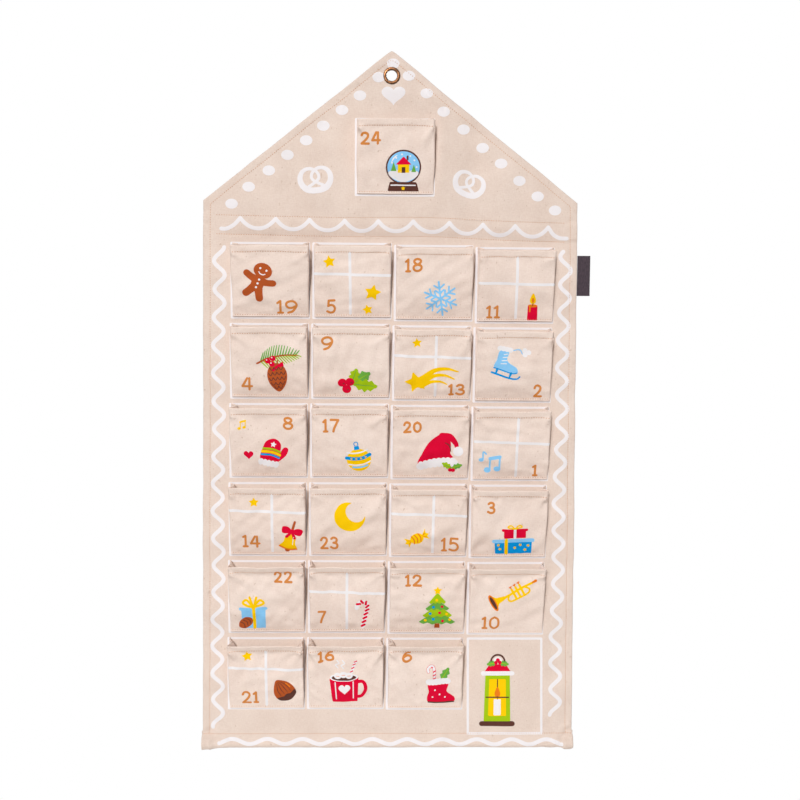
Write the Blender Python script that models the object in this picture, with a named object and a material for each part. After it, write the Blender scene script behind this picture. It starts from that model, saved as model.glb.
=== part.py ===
"""A cloth advent calendar shaped like a gabled house, hung by one eyelet.

The origin is the centre of the hanging eyelet, on the front face of the back panel.
X runs to the right for someone who looks at the pockets, Y to the wall behind, Z up.
All sizes are in metres.
"""

from math import acos, asin, atan2, cos, pi, radians, sin

import bmesh
import bpy
from mathutils import Matrix

# Cloth and clearances
CLOTH = 0.0008
GAP = 0.0003
PROUD = 0.0001
OVERRUN = 0.004
HEM_LAYERS = 3
HEM_CLOTH = HEM_LAYERS * CLOTH

# Back panel, measured down from the eyelet's centre
FOOT_WIDTH = 0.4770
EAVES_NARROWING = 0.0130
EAVES_WIDTH = FOOT_WIDTH - EAVES_NARROWING
APEX_RISE = 0.0296
EAVES_DROP = 0.1531
FOOT_DROP = 0.8510
HEM_WIDTH = 0.0088

# Rods and the two sleeves that hold them
ROD_RADIUS = 0.0040
ROD_CHAMFER = 0.0004
ROD_SIDES = 16
SLEEVE_MARGIN = 0.01525
SLEEVE_LENGTH = EAVES_WIDTH - 2 * SLEEVE_MARGIN
SLEEVE_SEAMS = 0.0234
SLEEVE_TURN = 0.0025
SLEEVE_DROP = 0.1858
SLEEVE_FALL = 0.0070
SLEEVE_CREST = 0.0032
EAVES_ROD_SHOWING = 0.00625
EAVES_ROD_LENGTH = SLEEVE_LENGTH + 2 * EAVES_ROD_SHOWING
FOOT_ROD_MARGIN = 0.0090
FOOT_ROD_LENGTH = FOOT_WIDTH - 2 * FOOT_ROD_MARGIN
FOOT_HEM = 0.0185
FOOT_TURN = 0.0020
FOOT_REACH = 0.0015
FOOT_ROD_SETBACK = 0.0012
ARC_STEPS = 12

# Eyelet, a barrel with a flange set through the cloth and a washer behind it
EYELET_BORE = 0.0065
EYELET_WALL = 0.0004
EYELET_FLANGE = 0.0104
EYELET_DOME = 0.0012
EYELET_CURL = 0.0009
WASHER_THICKNESS = 0.0006
EYELET_SIDES = 40

# Label sewn into the right side hem
LABEL_REACH = 0.0162
LABEL_HEIGHT = 0.0500
LABEL_THICKNESS = 0.0008
LABEL_DROP = 0.2178

# Pockets
POCKET_HEM = 0.0080
POCKET_BELLY = 0.0015
POCKET_TILT = radians(15)
SEAM_RISE = 0.0025
PLEAT_DEPTH = 0.0150
PLEAT_FOOT = 0.0060
PLEAT_INSET = 0.0004
FRONT_STEPS = 8

# Layout of the pockets on the panel, and how the sewn grid strays
GRID_TOP_DROP = 0.2053
GRID_FOOT_MARGIN = 0.0537
GRID_SIDE_MARGIN = 0.03875
ROW_SPACING = 0.0098
COLUMN_SPACING = 0.0065
GRID_LEAN = 0.0070
TOP_RIGHT_SAG = 0.0042
FOOT_RIGHT_SAG = 0.0014
SAG_SHARES = (0, 0, 0.5, 1)
ROWS = (
    (19, 5, 18, 11),
    (4, 9, 13, 2),
    (8, 17, 20, 1),
    (14, 23, 15, 3),
    (22, 7, 12, 10),
    (21, 16, 6),
)
GABLE_NUMBER = 24
GABLE_POCKET_DROP = 0.1436
GABLE_POCKET_SHIFT = 0.0052
COLUMN_PITCH = (FOOT_WIDTH - 2 * GRID_SIDE_MARGIN + COLUMN_SPACING) / len(SAG_SHARES)
ROW_PITCH = (FOOT_DROP - GRID_TOP_DROP - GRID_FOOT_MARGIN + ROW_SPACING) / len(ROWS)
POCKET_WIDTH = COLUMN_PITCH - COLUMN_SPACING
POCKET_HEIGHT = ROW_PITCH - ROW_SPACING
FIRST_ROW_DROP = GRID_TOP_DROP + POCKET_HEIGHT

CANVAS_COLOUR = (0.80, 0.69, 0.60, 1)
POCKET_COLOUR = (0.77, 0.66, 0.57, 1)
WOOD_COLOUR = (0.62, 0.43, 0.25, 1)
BRASS_COLOUR = (0.42, 0.29, 0.17, 1)
LABEL_COLOUR = (0.045, 0.032, 0.040, 1)


def clear_scene():
    """Remove whatever objects the file already holds."""
    for thing in list(bpy.data.objects):
        bpy.data.objects.remove(thing, do_unlink=True)


def finish(name, colour, roughness, metallic=0):
    """Return a Principled material."""
    material = bpy.data.materials.new(name)
    material.use_nodes = True
    shader = material.node_tree.nodes["Principled BSDF"]
    shader.inputs["Base Color"].default_value = colour
    shader.inputs["Roughness"].default_value = roughness
    shader.inputs["Metallic"].default_value = metallic
    return material


def add_object(name, mesh, location=(0, 0, 0), rotation=(0, 0, 0)):
    """Place a mesh in the scene under the sub-part's name."""
    thing = bpy.data.objects.new(name, mesh)
    thing.location = location
    thing.rotation_euler = rotation
    bpy.context.scene.collection.objects.link(thing)
    return thing


def mesh_from(work, name, material=None, smooth=False):
    """Turn a bmesh into a mesh with outward normals, then free it."""
    bmesh.ops.recalc_face_normals(work, faces=work.faces)
    mesh = bpy.data.meshes.new(name)
    work.to_mesh(mesh)
    work.free()
    if material:
        mesh.materials.append(material)
    if smooth:
        mesh.shade_smooth()
        mesh.set_sharp_from_angle(angle=radians(35))
    return mesh


def loft(work, rings, ring_of_rings=False):
    """Join rings of points side by side, and close the ends or join last to first."""
    loops = [[work.verts.new(point) for point in ring] for ring in rings]
    pairs = list(zip(loops, loops[1:]))
    if ring_of_rings:
        pairs.append((loops[-1], loops[0]))
    for near, far in pairs:
        for i in range(len(near)):
            j = (i + 1) % len(near)
            work.faces.new((near[i], near[j], far[j], far[i]))
    if not ring_of_rings:
        work.faces.new(loops[0])
        work.faces.new(loops[-1])


def arc_between(centre, radius, first, last):
    """Points of an arc about a centre, from one angle to another."""
    angles = [first + (last - first) * i / ARC_STEPS for i in range(ARC_STEPS + 1)]
    return [(centre[0] + radius * cos(a), centre[1] + radius * sin(a)) for a in angles]


def tangent_angle(point, centre, radius, side):
    """Angle on a circle where the straight cloth from a point first touches it."""
    across = point[0] - centre[0]
    along = point[1] - centre[1]
    reach = (across**2 + along**2) ** 0.5
    return atan2(along, across) + side * acos(radius / reach)


def line_inset(start, end, inset):
    """Shift a line sideways, to its right as one walks along it."""
    along = (end[0] - start[0], end[1] - start[1])
    length = (along[0] ** 2 + along[1] ** 2) ** 0.5
    shift = (along[1] * inset / length, -along[0] * inset / length)
    return [(p[0] + shift[0], p[1] + shift[1]) for p in (start, end)]


def crossing(first, second):
    """Point where two lines cross."""
    (x1, z1), (x2, z2) = first
    (x3, z3), (x4, z4) = second
    spread = (x1 - x2) * (z3 - z4) - (z1 - z2) * (x3 - x4)
    one = x1 * z2 - z1 * x2
    two = x3 * z4 - z3 * x4
    return (one * (x3 - x4) - (x1 - x2) * two) / spread, (one * (z3 - z4) - (z1 - z2) * two) / spread


def half_width_at(height):
    """Half the panel's width at a height between the eaves and the foot."""
    share = (-EAVES_DROP - height) / (FOOT_DROP - EAVES_DROP)
    return (EAVES_WIDTH + (FOOT_WIDTH - EAVES_WIDTH) * share) / 2


def panel_outline(foot, inset=0):
    """Five corners of the panel from foot left over the apex to foot right."""
    left_foot = (-half_width_at(foot), foot)
    left_eaves = (-EAVES_WIDTH / 2, -EAVES_DROP)
    apex = (0, APEX_RISE)
    side = line_inset(left_foot, left_eaves, inset)
    gable = line_inset(left_eaves, apex, inset)
    floor_line = (left_foot, (0, foot))
    axis_line = ((0, foot), apex)
    half = [crossing(floor_line, side), crossing(side, gable), crossing(gable, axis_line)]
    return half + [(-x, z) for x, z in reversed(half[:2])]


def panel_sheet(foot):
    """Canvas pentagon with its side and gable hems turned to the back."""
    work = bmesh.new()
    edge = panel_outline(foot)
    inner = panel_outline(foot, HEM_WIDTH)
    front = [work.verts.new((x, 0, z)) for x, z in edge]
    hem_edge = [work.verts.new((x, HEM_CLOTH, z)) for x, z in edge]
    hem_inner = [work.verts.new((x, HEM_CLOTH, z)) for x, z in inner]
    back = [work.verts.new((x, CLOTH, z)) for x, z in inner]
    work.faces.new(front)
    work.faces.new(back)
    for near, far in ((front, hem_edge), (hem_edge, hem_inner), (hem_inner, back)):
        for i in range(len(near) - 1):
            work.faces.new((near[i], near[i + 1], far[i + 1], far[i]))
    left = (front[0], hem_edge[0], hem_inner[0], back[0])
    right = (back[-1], hem_inner[-1], hem_edge[-1], front[-1])
    work.faces.new(left + right)
    return work


def foot_rod_centre():
    """Depth and height of the lower rod, which hangs in the fold of the foot."""
    return FOOT_ROD_SETBACK, -FOOT_DROP + ROD_RADIUS + GAP + CLOTH


def foot_sleeve():
    """Teardrop tunnel along the foot, closed at its seam and open at both ends."""
    seam = -FOOT_DROP + FOOT_HEM
    centre = foot_rod_centre()
    outer_points = ((-PROUD, seam + FOOT_TURN), (HEM_CLOTH + PROUD, seam + FOOT_TURN))
    inner_points = ((CLOTH, seam), (HEM_CLOTH - CLOTH, seam))
    profiles = []
    walls = ((outer_points, ROD_RADIUS + GAP + CLOTH), (inner_points, ROD_RADIUS + GAP))
    for (front, back), radius in walls:
        first = tangent_angle(front, centre, radius, 1)
        last = tangent_angle(back, centre, radius, -1)
        profiles.append([front] + arc_between(centre, radius, first, last + 2 * pi) + [back])
    outer, inner = profiles
    reach = FOOT_WIDTH / 2 + FOOT_REACH
    places = ((outer, -reach), (outer, reach), (inner, reach), (inner, -reach))
    work = bmesh.new()
    loft(work, [[(x, y, z) for y, z in profile] for profile, x in places], ring_of_rings=True)
    return work


def add_cutter(name, work, target, operation):
    """Join a helper solid to a sub-part, or cut it away, by an exact Boolean."""
    helper = add_object(name, mesh_from(work, name))
    helper.hide_render = True
    helper.display_type = "WIRE"
    modifier = target.modifiers.new(name, "BOOLEAN")
    modifier.object = helper
    modifier.operation = operation
    modifier.solver = "EXACT"


def add_back_panel(material):
    """Panel with its hems, the sleeve along its foot and the hole for the eyelet."""
    foot = -FOOT_DROP + FOOT_HEM + FOOT_TURN / 2
    panel = add_object("back_panel", mesh_from(panel_sheet(foot), "back_panel", material))
    add_cutter("foot_sleeve_shape", foot_sleeve(), panel, "UNION")
    hole = bmesh.new()
    bmesh.ops.create_cone(
        hole,
        cap_ends=True,
        segments=EYELET_SIDES,
        radius1=EYELET_BORE + EYELET_WALL + GAP,
        radius2=EYELET_BORE + EYELET_WALL + GAP,
        depth=2 * OVERRUN,
        matrix=Matrix.Rotation(pi / 2, 4, "X"),
    )
    add_cutter("eyelet_hole_shape", hole, panel, "DIFFERENCE")


def add_rod(name, length, centre, turn, material):
    """Round wooden rod along X, with its ends eased."""
    work = bmesh.new()
    bmesh.ops.create_cone(
        work,
        cap_ends=True,
        segments=ROD_SIDES,
        radius1=ROD_RADIUS,
        radius2=ROD_RADIUS,
        depth=length,
        matrix=Matrix.Rotation(pi / 2, 4, "Y"),
    )
    ends = [edge for edge in work.edges if abs(edge.verts[0].co.x - edge.verts[1].co.x) < ROD_CHAMFER]
    bmesh.ops.bevel(work, geom=ends, offset=ROD_CHAMFER, segments=1, affect="EDGES")
    add_object(name, mesh_from(work, name, material, smooth=True), centre, (0, turn, 0))


def sleeve_turn():
    """Angle by which the upper sleeve falls to the right."""
    return asin(SLEEVE_FALL / SLEEVE_LENGTH)


def eaves_rod_depth():
    """Depth of the upper rod's axis, which lets it slide out behind the side hems."""
    return HEM_CLOTH + GAP + ROD_RADIUS


def add_eaves_sleeve(material):
    """Strip sewn across the back, raised over the rod, with a flat crest to lie on a wall."""
    centre = (eaves_rod_depth(), 0)
    panel_back = CLOTH + GAP
    outer_radius = ROD_RADIUS + GAP + CLOTH
    seam_top = (panel_back + 2 * CLOTH, SLEEVE_SEAMS / 2)
    inner_top = (panel_back, SLEEVE_SEAMS / 2 - CLOTH)
    crest_turn = asin(SLEEVE_CREST / 2 / outer_radius)
    outer_start = tangent_angle(seam_top, centre, outer_radius, -1)
    outer_arc = arc_between(centre, outer_radius, outer_start, crest_turn)
    inner_start = tangent_angle(inner_top, centre, ROD_RADIUS + GAP, -1)
    inner_arc = arc_between(centre, ROD_RADIUS + GAP, inner_start, 0)
    edge = SLEEVE_SEAMS / 2 + SLEEVE_TURN
    upper = [(panel_back, edge), (seam_top[0], edge), seam_top] + outer_arc
    under = [inner_top] + inner_arc[:-1]
    outer = upper + [(y, -z) for y, z in reversed(upper)]
    inner = under + [inner_arc[-1]] + [(y, -z) for y, z in reversed(under)]
    profile = outer + inner[::-1]
    work = bmesh.new()
    half = SLEEVE_LENGTH / 2
    loft(work, [[(x, y, z) for y, z in profile] for x in (-half, half)])
    place = (0, 0, -SLEEVE_DROP)
    add_object("eaves_sleeve", mesh_from(work, "eaves_sleeve", material), place, (0, sleeve_turn(), 0))


def turned_about_y(profile, name, material):
    """Spin a closed profile of radius and depth once about the eyelet's axis."""
    work = bmesh.new()
    rings = []
    for i in range(EYELET_SIDES):
        angle = 2 * pi * i / EYELET_SIDES
        rings.append([(r * cos(angle), y, r * sin(angle)) for r, y in profile])
    loft(work, rings, ring_of_rings=True)
    add_object(name, mesh_from(work, name, material, smooth=True))


def add_eyelet(material):
    """Flanged barrel set from the front, and the washer that its curl holds behind."""
    barrel = EYELET_BORE + EYELET_WALL
    washer_front = CLOTH + GAP
    washer_back = washer_front + WASHER_THICKNESS
    curl_front = washer_back + GAP
    dome = -GAP - EYELET_DOME
    crown = (EYELET_BORE + EYELET_FLANGE) / 2
    curl = barrel + EYELET_CURL
    flange = [
        (EYELET_BORE, dome + EYELET_WALL),
        (EYELET_BORE + EYELET_WALL, dome + EYELET_WALL / 2),
        (crown, dome),
        (EYELET_FLANGE - EYELET_WALL, dome + EYELET_WALL),
        (EYELET_FLANGE, -GAP - EYELET_WALL),
        (EYELET_FLANGE, -GAP),
        (barrel, -GAP),
        (barrel, curl_front),
        (curl, curl_front),
        (curl, curl_front + EYELET_WALL),
        (barrel, curl_front + 2 * EYELET_WALL),
        (EYELET_BORE, curl_front + EYELET_WALL),
    ]
    turned_about_y(flange, "eyelet_front", material)
    washer = [
        (barrel + GAP, washer_front),
        (barrel + GAP, washer_back),
        (EYELET_FLANGE - WASHER_THICKNESS, washer_back),
        (EYELET_FLANGE, washer_front + WASHER_THICKNESS / 2),
        (EYELET_FLANGE, washer_front),
    ]
    turned_about_y(washer, "eyelet_washer", material)


def label_root():
    """Axis about which the label flaps, just outside the right side hem at mid height."""
    middle = -LABEL_DROP - LABEL_HEIGHT / 2
    widest = half_width_at(-LABEL_DROP - LABEL_HEIGHT)
    return widest + GAP + LABEL_THICKNESS / 2, HEM_CLOTH / 2, middle


def add_side_label(material):
    """Bare woven label, folded over and caught in the hem, with both upright edges rounded."""
    work = bmesh.new()
    bmesh.ops.create_cube(work, size=1)
    bmesh.ops.scale(work, vec=(LABEL_REACH, LABEL_THICKNESS, LABEL_HEIGHT), verts=work.verts)
    bmesh.ops.translate(work, vec=((LABEL_REACH - LABEL_THICKNESS) / 2, 0, 0), verts=work.verts)
    upright = [e for e in work.edges if abs(e.verts[0].co.z - e.verts[1].co.z) > LABEL_HEIGHT / 2]
    bmesh.ops.bevel(work, geom=upright, offset=LABEL_THICKNESS / 2 - PROUD, segments=3, affect="EDGES")
    add_object("side_label", mesh_from(work, "side_label", material), label_root())


def front_face(along, inward):
    """Depth and height of a point of the pocket front, from its hinge, when it hangs at rest.

    The point lies the given way up the cloth and the given way in from its middle layer.
    """
    bulge = POCKET_BELLY * sin(pi * along / pocket_reach())
    depth = inward - bulge
    return (
        -along * sin(POCKET_TILT) + depth * cos(POCKET_TILT),
        along * cos(POCKET_TILT) + depth * sin(POCKET_TILT),
    )


def pocket_reach():
    """Length of the pocket front from its hinge to its top edge."""
    return POCKET_HEIGHT - SEAM_RISE


def hinge_depth():
    """How far the hinge of a pocket front stands before the panel."""
    return GAP + 2 * CLOTH + GAP + CLOTH / 2


def pocket_front_mesh(material):
    """Front cloth from its bottom seam to its hemmed top edge, upright, hinge at the origin."""
    reach = pocket_reach()
    hem_start = reach - POCKET_HEM
    steps = [hem_start * i / FRONT_STEPS for i in range(FRONT_STEPS + 1)]
    steps += [hem_start + POCKET_HEM / 2, reach]
    outer = []
    inner = []
    for along in steps:
        bulge = POCKET_BELLY * sin(pi * along / reach)
        outer.append((-bulge - CLOTH / 2, along))
        if along > hem_start:
            inner.append((-bulge - CLOTH / 2 + HEM_CLOTH, along))
        else:
            inner.append((-bulge + CLOTH / 2, along))
    hem_foot = inner[FRONT_STEPS][0] + HEM_CLOTH - CLOTH
    inner.insert(FRONT_STEPS + 1, (hem_foot, hem_start + PROUD))
    profile = outer + inner[::-1]
    work = bmesh.new()
    half = POCKET_WIDTH / 2
    loft(work, [[(x, y, z) for y, z in profile] for x in (-half, half)])
    return mesh_from(work, "pocket_front", material)


def pleat_section(along, front_inward):
    """One slanted section through a V pleat, seen from above, at a way up the cloth."""
    depth, rise = front_face(along, front_inward)
    near = -hinge_depth() + depth + GAP
    far = -GAP
    side = POCKET_WIDTH / 2 - PLEAT_INSET
    middle = (near + far) / 2
    half_gap = (far - near) / 2
    fold = side - PLEAT_DEPTH
    inner_fold = side - PLEAT_DEPTH * (half_gap - CLOTH) / half_gap
    front_height = SEAM_RISE + rise
    back_height = SEAM_RISE + along
    middle_height = (front_height + back_height) / 2
    return [
        (side, far, back_height),
        (fold, middle, middle_height),
        (side, near, front_height),
        (side, near + CLOTH, front_height),
        (inner_fold, middle, middle_height),
        (side, far - CLOTH, back_height),
    ]


def pocket_gusset_mesh(material):
    """Seam strip under the pocket with a V pleat rising at each side, joined in one piece."""
    strip = bmesh.new()
    half = POCKET_WIDTH / 2
    sewn = -GAP - 2 * CLOTH
    foot_front = -hinge_depth() - CLOTH / 2
    foot_top = SEAM_RISE - CLOTH / 2 - GAP
    turned_edge = [(-GAP, 0), (foot_front, 0), (foot_front, foot_top), (sewn, foot_top)]
    profile = turned_edge + [(sewn, PLEAT_FOOT), (-GAP, PLEAT_FOOT)]
    loft(strip, [[(x, y, z) for y, z in profile] for x in (-half, half)])
    gusset = add_object("pocket_gusset_shape", mesh_from(strip, "pocket_gusset_shape", material))
    reach = pocket_reach()
    hem_start = reach - POCKET_HEM
    first = PLEAT_FOOT - SEAM_RISE - 2 * PROUD
    rise = (hem_start - CLOTH - first) / FRONT_STEPS
    hem_back = HEM_CLOTH - CLOTH / 2
    levels = [(first + rise * i, CLOTH / 2) for i in range(FRONT_STEPS + 1)]
    levels += [(hem_start, hem_back), (reach - CLOTH, hem_back)]
    sections = [pleat_section(along, inward) for along, inward in levels]
    for name, side in (("right_pleat_shape", 1), ("left_pleat_shape", -1)):
        work = bmesh.new()
        loft(work, [[(side * x, y, z) for x, y, z in section] for section in sections])
        add_cutter(name, work, gusset, "UNION")
    graph = bpy.context.evaluated_depsgraph_get()
    mesh = bpy.data.meshes.new_from_object(gusset.evaluated_get(graph))
    for helper in (gusset, bpy.data.objects["right_pleat_shape"], bpy.data.objects["left_pleat_shape"]):
        bpy.data.objects.remove(helper, do_unlink=True)
    mesh.name = "pocket_gusset"
    return mesh


def pocket_places():
    """Number, middle and foot height of every pocket."""
    places = [(GABLE_NUMBER, GABLE_POCKET_SHIFT, -GABLE_POCKET_DROP)]
    middle_row = (len(ROWS) - 1) / 2
    for row, numbers in enumerate(ROWS):
        down = row / (len(ROWS) - 1)
        lean = GRID_LEAN * (middle_row - row) / (len(ROWS) - 1)
        sag = TOP_RIGHT_SAG + (FOOT_RIGHT_SAG - TOP_RIGHT_SAG) * down
        for column, number in enumerate(numbers):
            middle = (column - (len(SAG_SHARES) - 1) / 2) * COLUMN_PITCH + lean
            foot = -FIRST_ROW_DROP - row * ROW_PITCH - sag * SAG_SHARES[column]
            places.append((number, middle, foot))
    return places


def add_pockets(material):
    """Every pocket: a tilting front hinged on its seam, and the pleats behind it."""
    front = pocket_front_mesh(material)
    gusset = pocket_gusset_mesh(material)
    for number, middle, foot in pocket_places():
        hinge = (middle, -hinge_depth(), foot + SEAM_RISE)
        add_object(f"pocket_{number:02d}_front", front, hinge, (POCKET_TILT, 0, 0))
        add_object(f"pocket_{number:02d}_gusset", gusset, (middle, 0, foot))


def build():
    """Model the whole calendar."""
    clear_scene()
    canvas = finish("canvas", CANVAS_COLOUR, 0.92)
    pocket_canvas = finish("pocket_canvas", POCKET_COLOUR, 0.92)
    wood = finish("wood", WOOD_COLOUR, 0.6)
    brass = finish("aged_brass", BRASS_COLOUR, 0.35, 1)
    woven = finish("woven_label", LABEL_COLOUR, 0.8)
    add_back_panel(canvas)
    add_eaves_sleeve(canvas)
    add_rod("eaves_rod", EAVES_ROD_LENGTH, (0, eaves_rod_depth(), -SLEEVE_DROP), sleeve_turn(), wood)
    depth, height = foot_rod_centre()
    add_rod("foot_rod", FOOT_ROD_LENGTH, (0, depth, height), 0, wood)
    add_eyelet(brass)
    add_side_label(woven)
    add_pockets(pocket_canvas)


build()
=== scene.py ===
"""Canvas advent calendar: the dressed model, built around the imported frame.

Lengths are in metres. Drawings on the cloth are in millimetres of flat cloth and
pass through one scale, MM. The cloth's front looks along -Y and up is +Z.
"""
import logging
import math
from dataclasses import dataclass
from enum import Enum
from typing import Callable

import bpy
import numpy as np
from mathutils import Matrix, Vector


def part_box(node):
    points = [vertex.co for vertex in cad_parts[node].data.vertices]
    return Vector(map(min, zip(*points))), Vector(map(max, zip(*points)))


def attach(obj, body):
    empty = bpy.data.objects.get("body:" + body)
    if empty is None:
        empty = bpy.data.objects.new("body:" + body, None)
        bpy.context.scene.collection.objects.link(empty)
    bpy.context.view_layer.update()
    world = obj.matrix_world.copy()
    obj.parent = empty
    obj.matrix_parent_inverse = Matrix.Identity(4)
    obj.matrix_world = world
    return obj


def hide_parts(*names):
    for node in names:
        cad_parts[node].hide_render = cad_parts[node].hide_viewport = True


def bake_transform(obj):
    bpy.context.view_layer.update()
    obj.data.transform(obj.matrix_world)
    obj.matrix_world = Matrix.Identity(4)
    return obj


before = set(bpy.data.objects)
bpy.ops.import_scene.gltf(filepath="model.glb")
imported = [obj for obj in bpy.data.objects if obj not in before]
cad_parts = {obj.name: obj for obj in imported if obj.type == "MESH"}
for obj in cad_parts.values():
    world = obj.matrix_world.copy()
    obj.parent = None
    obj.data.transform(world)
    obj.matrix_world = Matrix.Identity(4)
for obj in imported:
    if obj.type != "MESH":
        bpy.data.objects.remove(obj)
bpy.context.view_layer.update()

Array = np.ndarray
Surface = Callable[[Array, Array, Array], Array]
LOG = logging.getLogger("advent_calendar")

MM = 0.001
TAU = 2.0 * math.pi
SHARP_ANGLE = math.radians(52.0)


def linear(colour: tuple[float, float, float]) -> tuple[float, float, float, float]:
    """Turn a display colour of 0 to 255 into a linear one with full alpha.

    Args:
        colour: Red, green and blue as seen on a display.

    Returns:
        The linear colour, by the display's power curve with its straight foot.
    """
    shares = [c / 255.0 for c in colour]
    values = [s / 12.92 if s <= 0.04045 else ((s + 0.055) / 1.055) ** 2.4 for s in shares]
    return (values[0], values[1], values[2], 1.0)


def smooth_step(value: Array, low: float, high: float) -> Array:
    """Rise from 0 to 1 between two values, level at both ends: 3 t squared less 2 t cubed."""
    t = np.clip((value - low) / (high - low), 0.0, 1.0)
    return t * t * (3.0 - 2.0 * t)


def hump(value: Array, middle: float, reach: float) -> Array:
    """A bell of height 1 about a middle: e to the minus square of the distance in reaches."""
    return np.exp(-(((value - middle) / reach) ** 2))


def ripple(a: Array, b: Array, seed: int, length: float, waves: int = 7) -> Array:
    """Gentle random waves over a plane, between about -1 and 1.

    The sum of plane waves, each the sine of a line across the plane with its own
    direction, its own wavelength near the given one and its own phase, all drawn
    from the seed.

    Args:
        a: First coordinate in metres.
        b: Second coordinate in metres.
        seed: Number that fixes the draw.
        length: Middle wavelength in metres.
        waves: How many waves are added.

    Returns:
        The height of the waves.
    """
    draw = np.random.default_rng(seed)
    total = np.zeros(np.broadcast(a, b).shape)
    for _ in range(waves):
        angle, phase = draw.uniform(0.0, TAU, 2)
        number = TAU / (length * draw.uniform(0.7, 1.5))
        total = total + np.sin(number * (a * math.cos(angle) + b * math.sin(angle)) + phase)
    return total / math.sqrt(2.0 * waves)


def run_along(line: Array) -> Array:
    """Length of the way from a line's first point to each of its points."""
    return np.concatenate(([0.0], np.cumsum(np.linalg.norm(np.diff(line, axis=0), axis=1))))


def spline(points: list[tuple[float, float]], step: float, closed: bool = False) -> Array:
    """Run a smooth line through a few points and space it evenly.

    A Catmull-Rom curve: between two points it is the cubic that leaves each of
    them parallel to the chord of its neighbours. It is then read at even lengths.

    Args:
        points: The points, in the drawing's own unit.
        step: Distance between the points that come back.
        closed: Whether the last point joins the first.

    Returns:
        The points of the line; a closed line doesn't repeat its first point.
    """
    knots = np.asarray(points, dtype=float)
    if closed:
        knots = np.vstack((knots[-1], knots, knots[0], knots[1]))
    else:
        knots = np.vstack((2 * knots[0] - knots[1], knots, 2 * knots[-1] - knots[-2]))
    t = np.linspace(0.0, 1.0, 12, endpoint=False)[:, None]
    before, start, end, after = (knots[i : len(knots) - 3 + i] for i in range(4))
    pieces = []
    for p0, p1, p2, p3 in zip(before, start, end, after):
        cubic = (3 * (p1 - p2) + p3 - p0) * t**3 + (2 * p0 - 5 * p1 + 4 * p2 - p3) * t**2
        pieces.append(0.5 * (cubic + (p2 - p0) * t + 2 * p1))
    line = np.vstack(pieces + [end[-1:]])
    run = run_along(line)
    count = max(int(round(run[-1] / step)), 4)
    places = np.linspace(0.0, run[-1], count + 1)
    even = np.column_stack([np.interp(places, run, line[:, k]) for k in range(2)])
    return even[:-1] if closed else even


def grid_faces(rows: int, columns: int, ring: bool = False) -> Array:
    """Quads over a grid of points, row by row; a ring also joins its last column to its first."""
    index = np.arange(rows * columns).reshape(rows, columns)
    if ring:
        index = np.column_stack((index, index[:, 0]))
    corners = (index[:-1, :-1], index[:-1, 1:], index[1:, 1:], index[1:, :-1])
    return np.stack([c.ravel() for c in corners], axis=1)


def grid_edge(rows: int, columns: int) -> Array:
    """The points round a grid's border, in the turning sense of its faces."""
    index = np.arange(rows * columns).reshape(rows, columns)
    sides = (index[0, :-1], index[:-1, -1], index[-1, :0:-1], index[:0:-1, 0])
    return np.concatenate(sides)


def turned_over(faces: Array) -> Array:
    """The same faces seen from their other side; a triangle's last entry stays -1."""
    flipped = faces[:, ::-1].copy()
    triangles = faces[:, 3] < 0
    flipped[triangles, :3] = faces[triangles, 2::-1]
    flipped[triangles, 3] = -1
    return flipped


def closed_skin(top: Array, bottom: Array, faces: Array, edge: Array) -> tuple[Array, Array]:
    """Close two like sheets with a rim into one body.

    Args:
        top: Points of the outer sheet.
        bottom: Points of the inner sheet, in the same order.
        faces: Faces of the outer sheet.
        edge: Its border points in the turning sense of its faces.

    Returns:
        All points and all faces.
    """
    count = len(top)
    under = turned_over(np.where(faces < 0, -1, faces + count))
    after = np.roll(edge, -1)
    rim = np.stack((after, edge, edge + count, after + count), axis=1)
    return np.vstack((top, bottom)), np.vstack((faces, under, rim))


def volume_of(points: Array, faces: Array) -> float:
    """Six times the signed volume of a closed mesh: the triple products of its triangles."""
    held = points - points.mean(axis=0)
    first, second, third = (held[faces[:, k]] for k in range(3))
    total = np.einsum("ij,ij->", first, np.cross(second, third))
    quads = faces[faces[:, 3] >= 0]
    first, third, fourth = (held[quads[:, k]] for k in (0, 2, 3))
    return float(total + np.einsum("ij,ij->", first, np.cross(third, fourth)))


Value = bpy.types.NodeSocket | float | tuple


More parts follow.
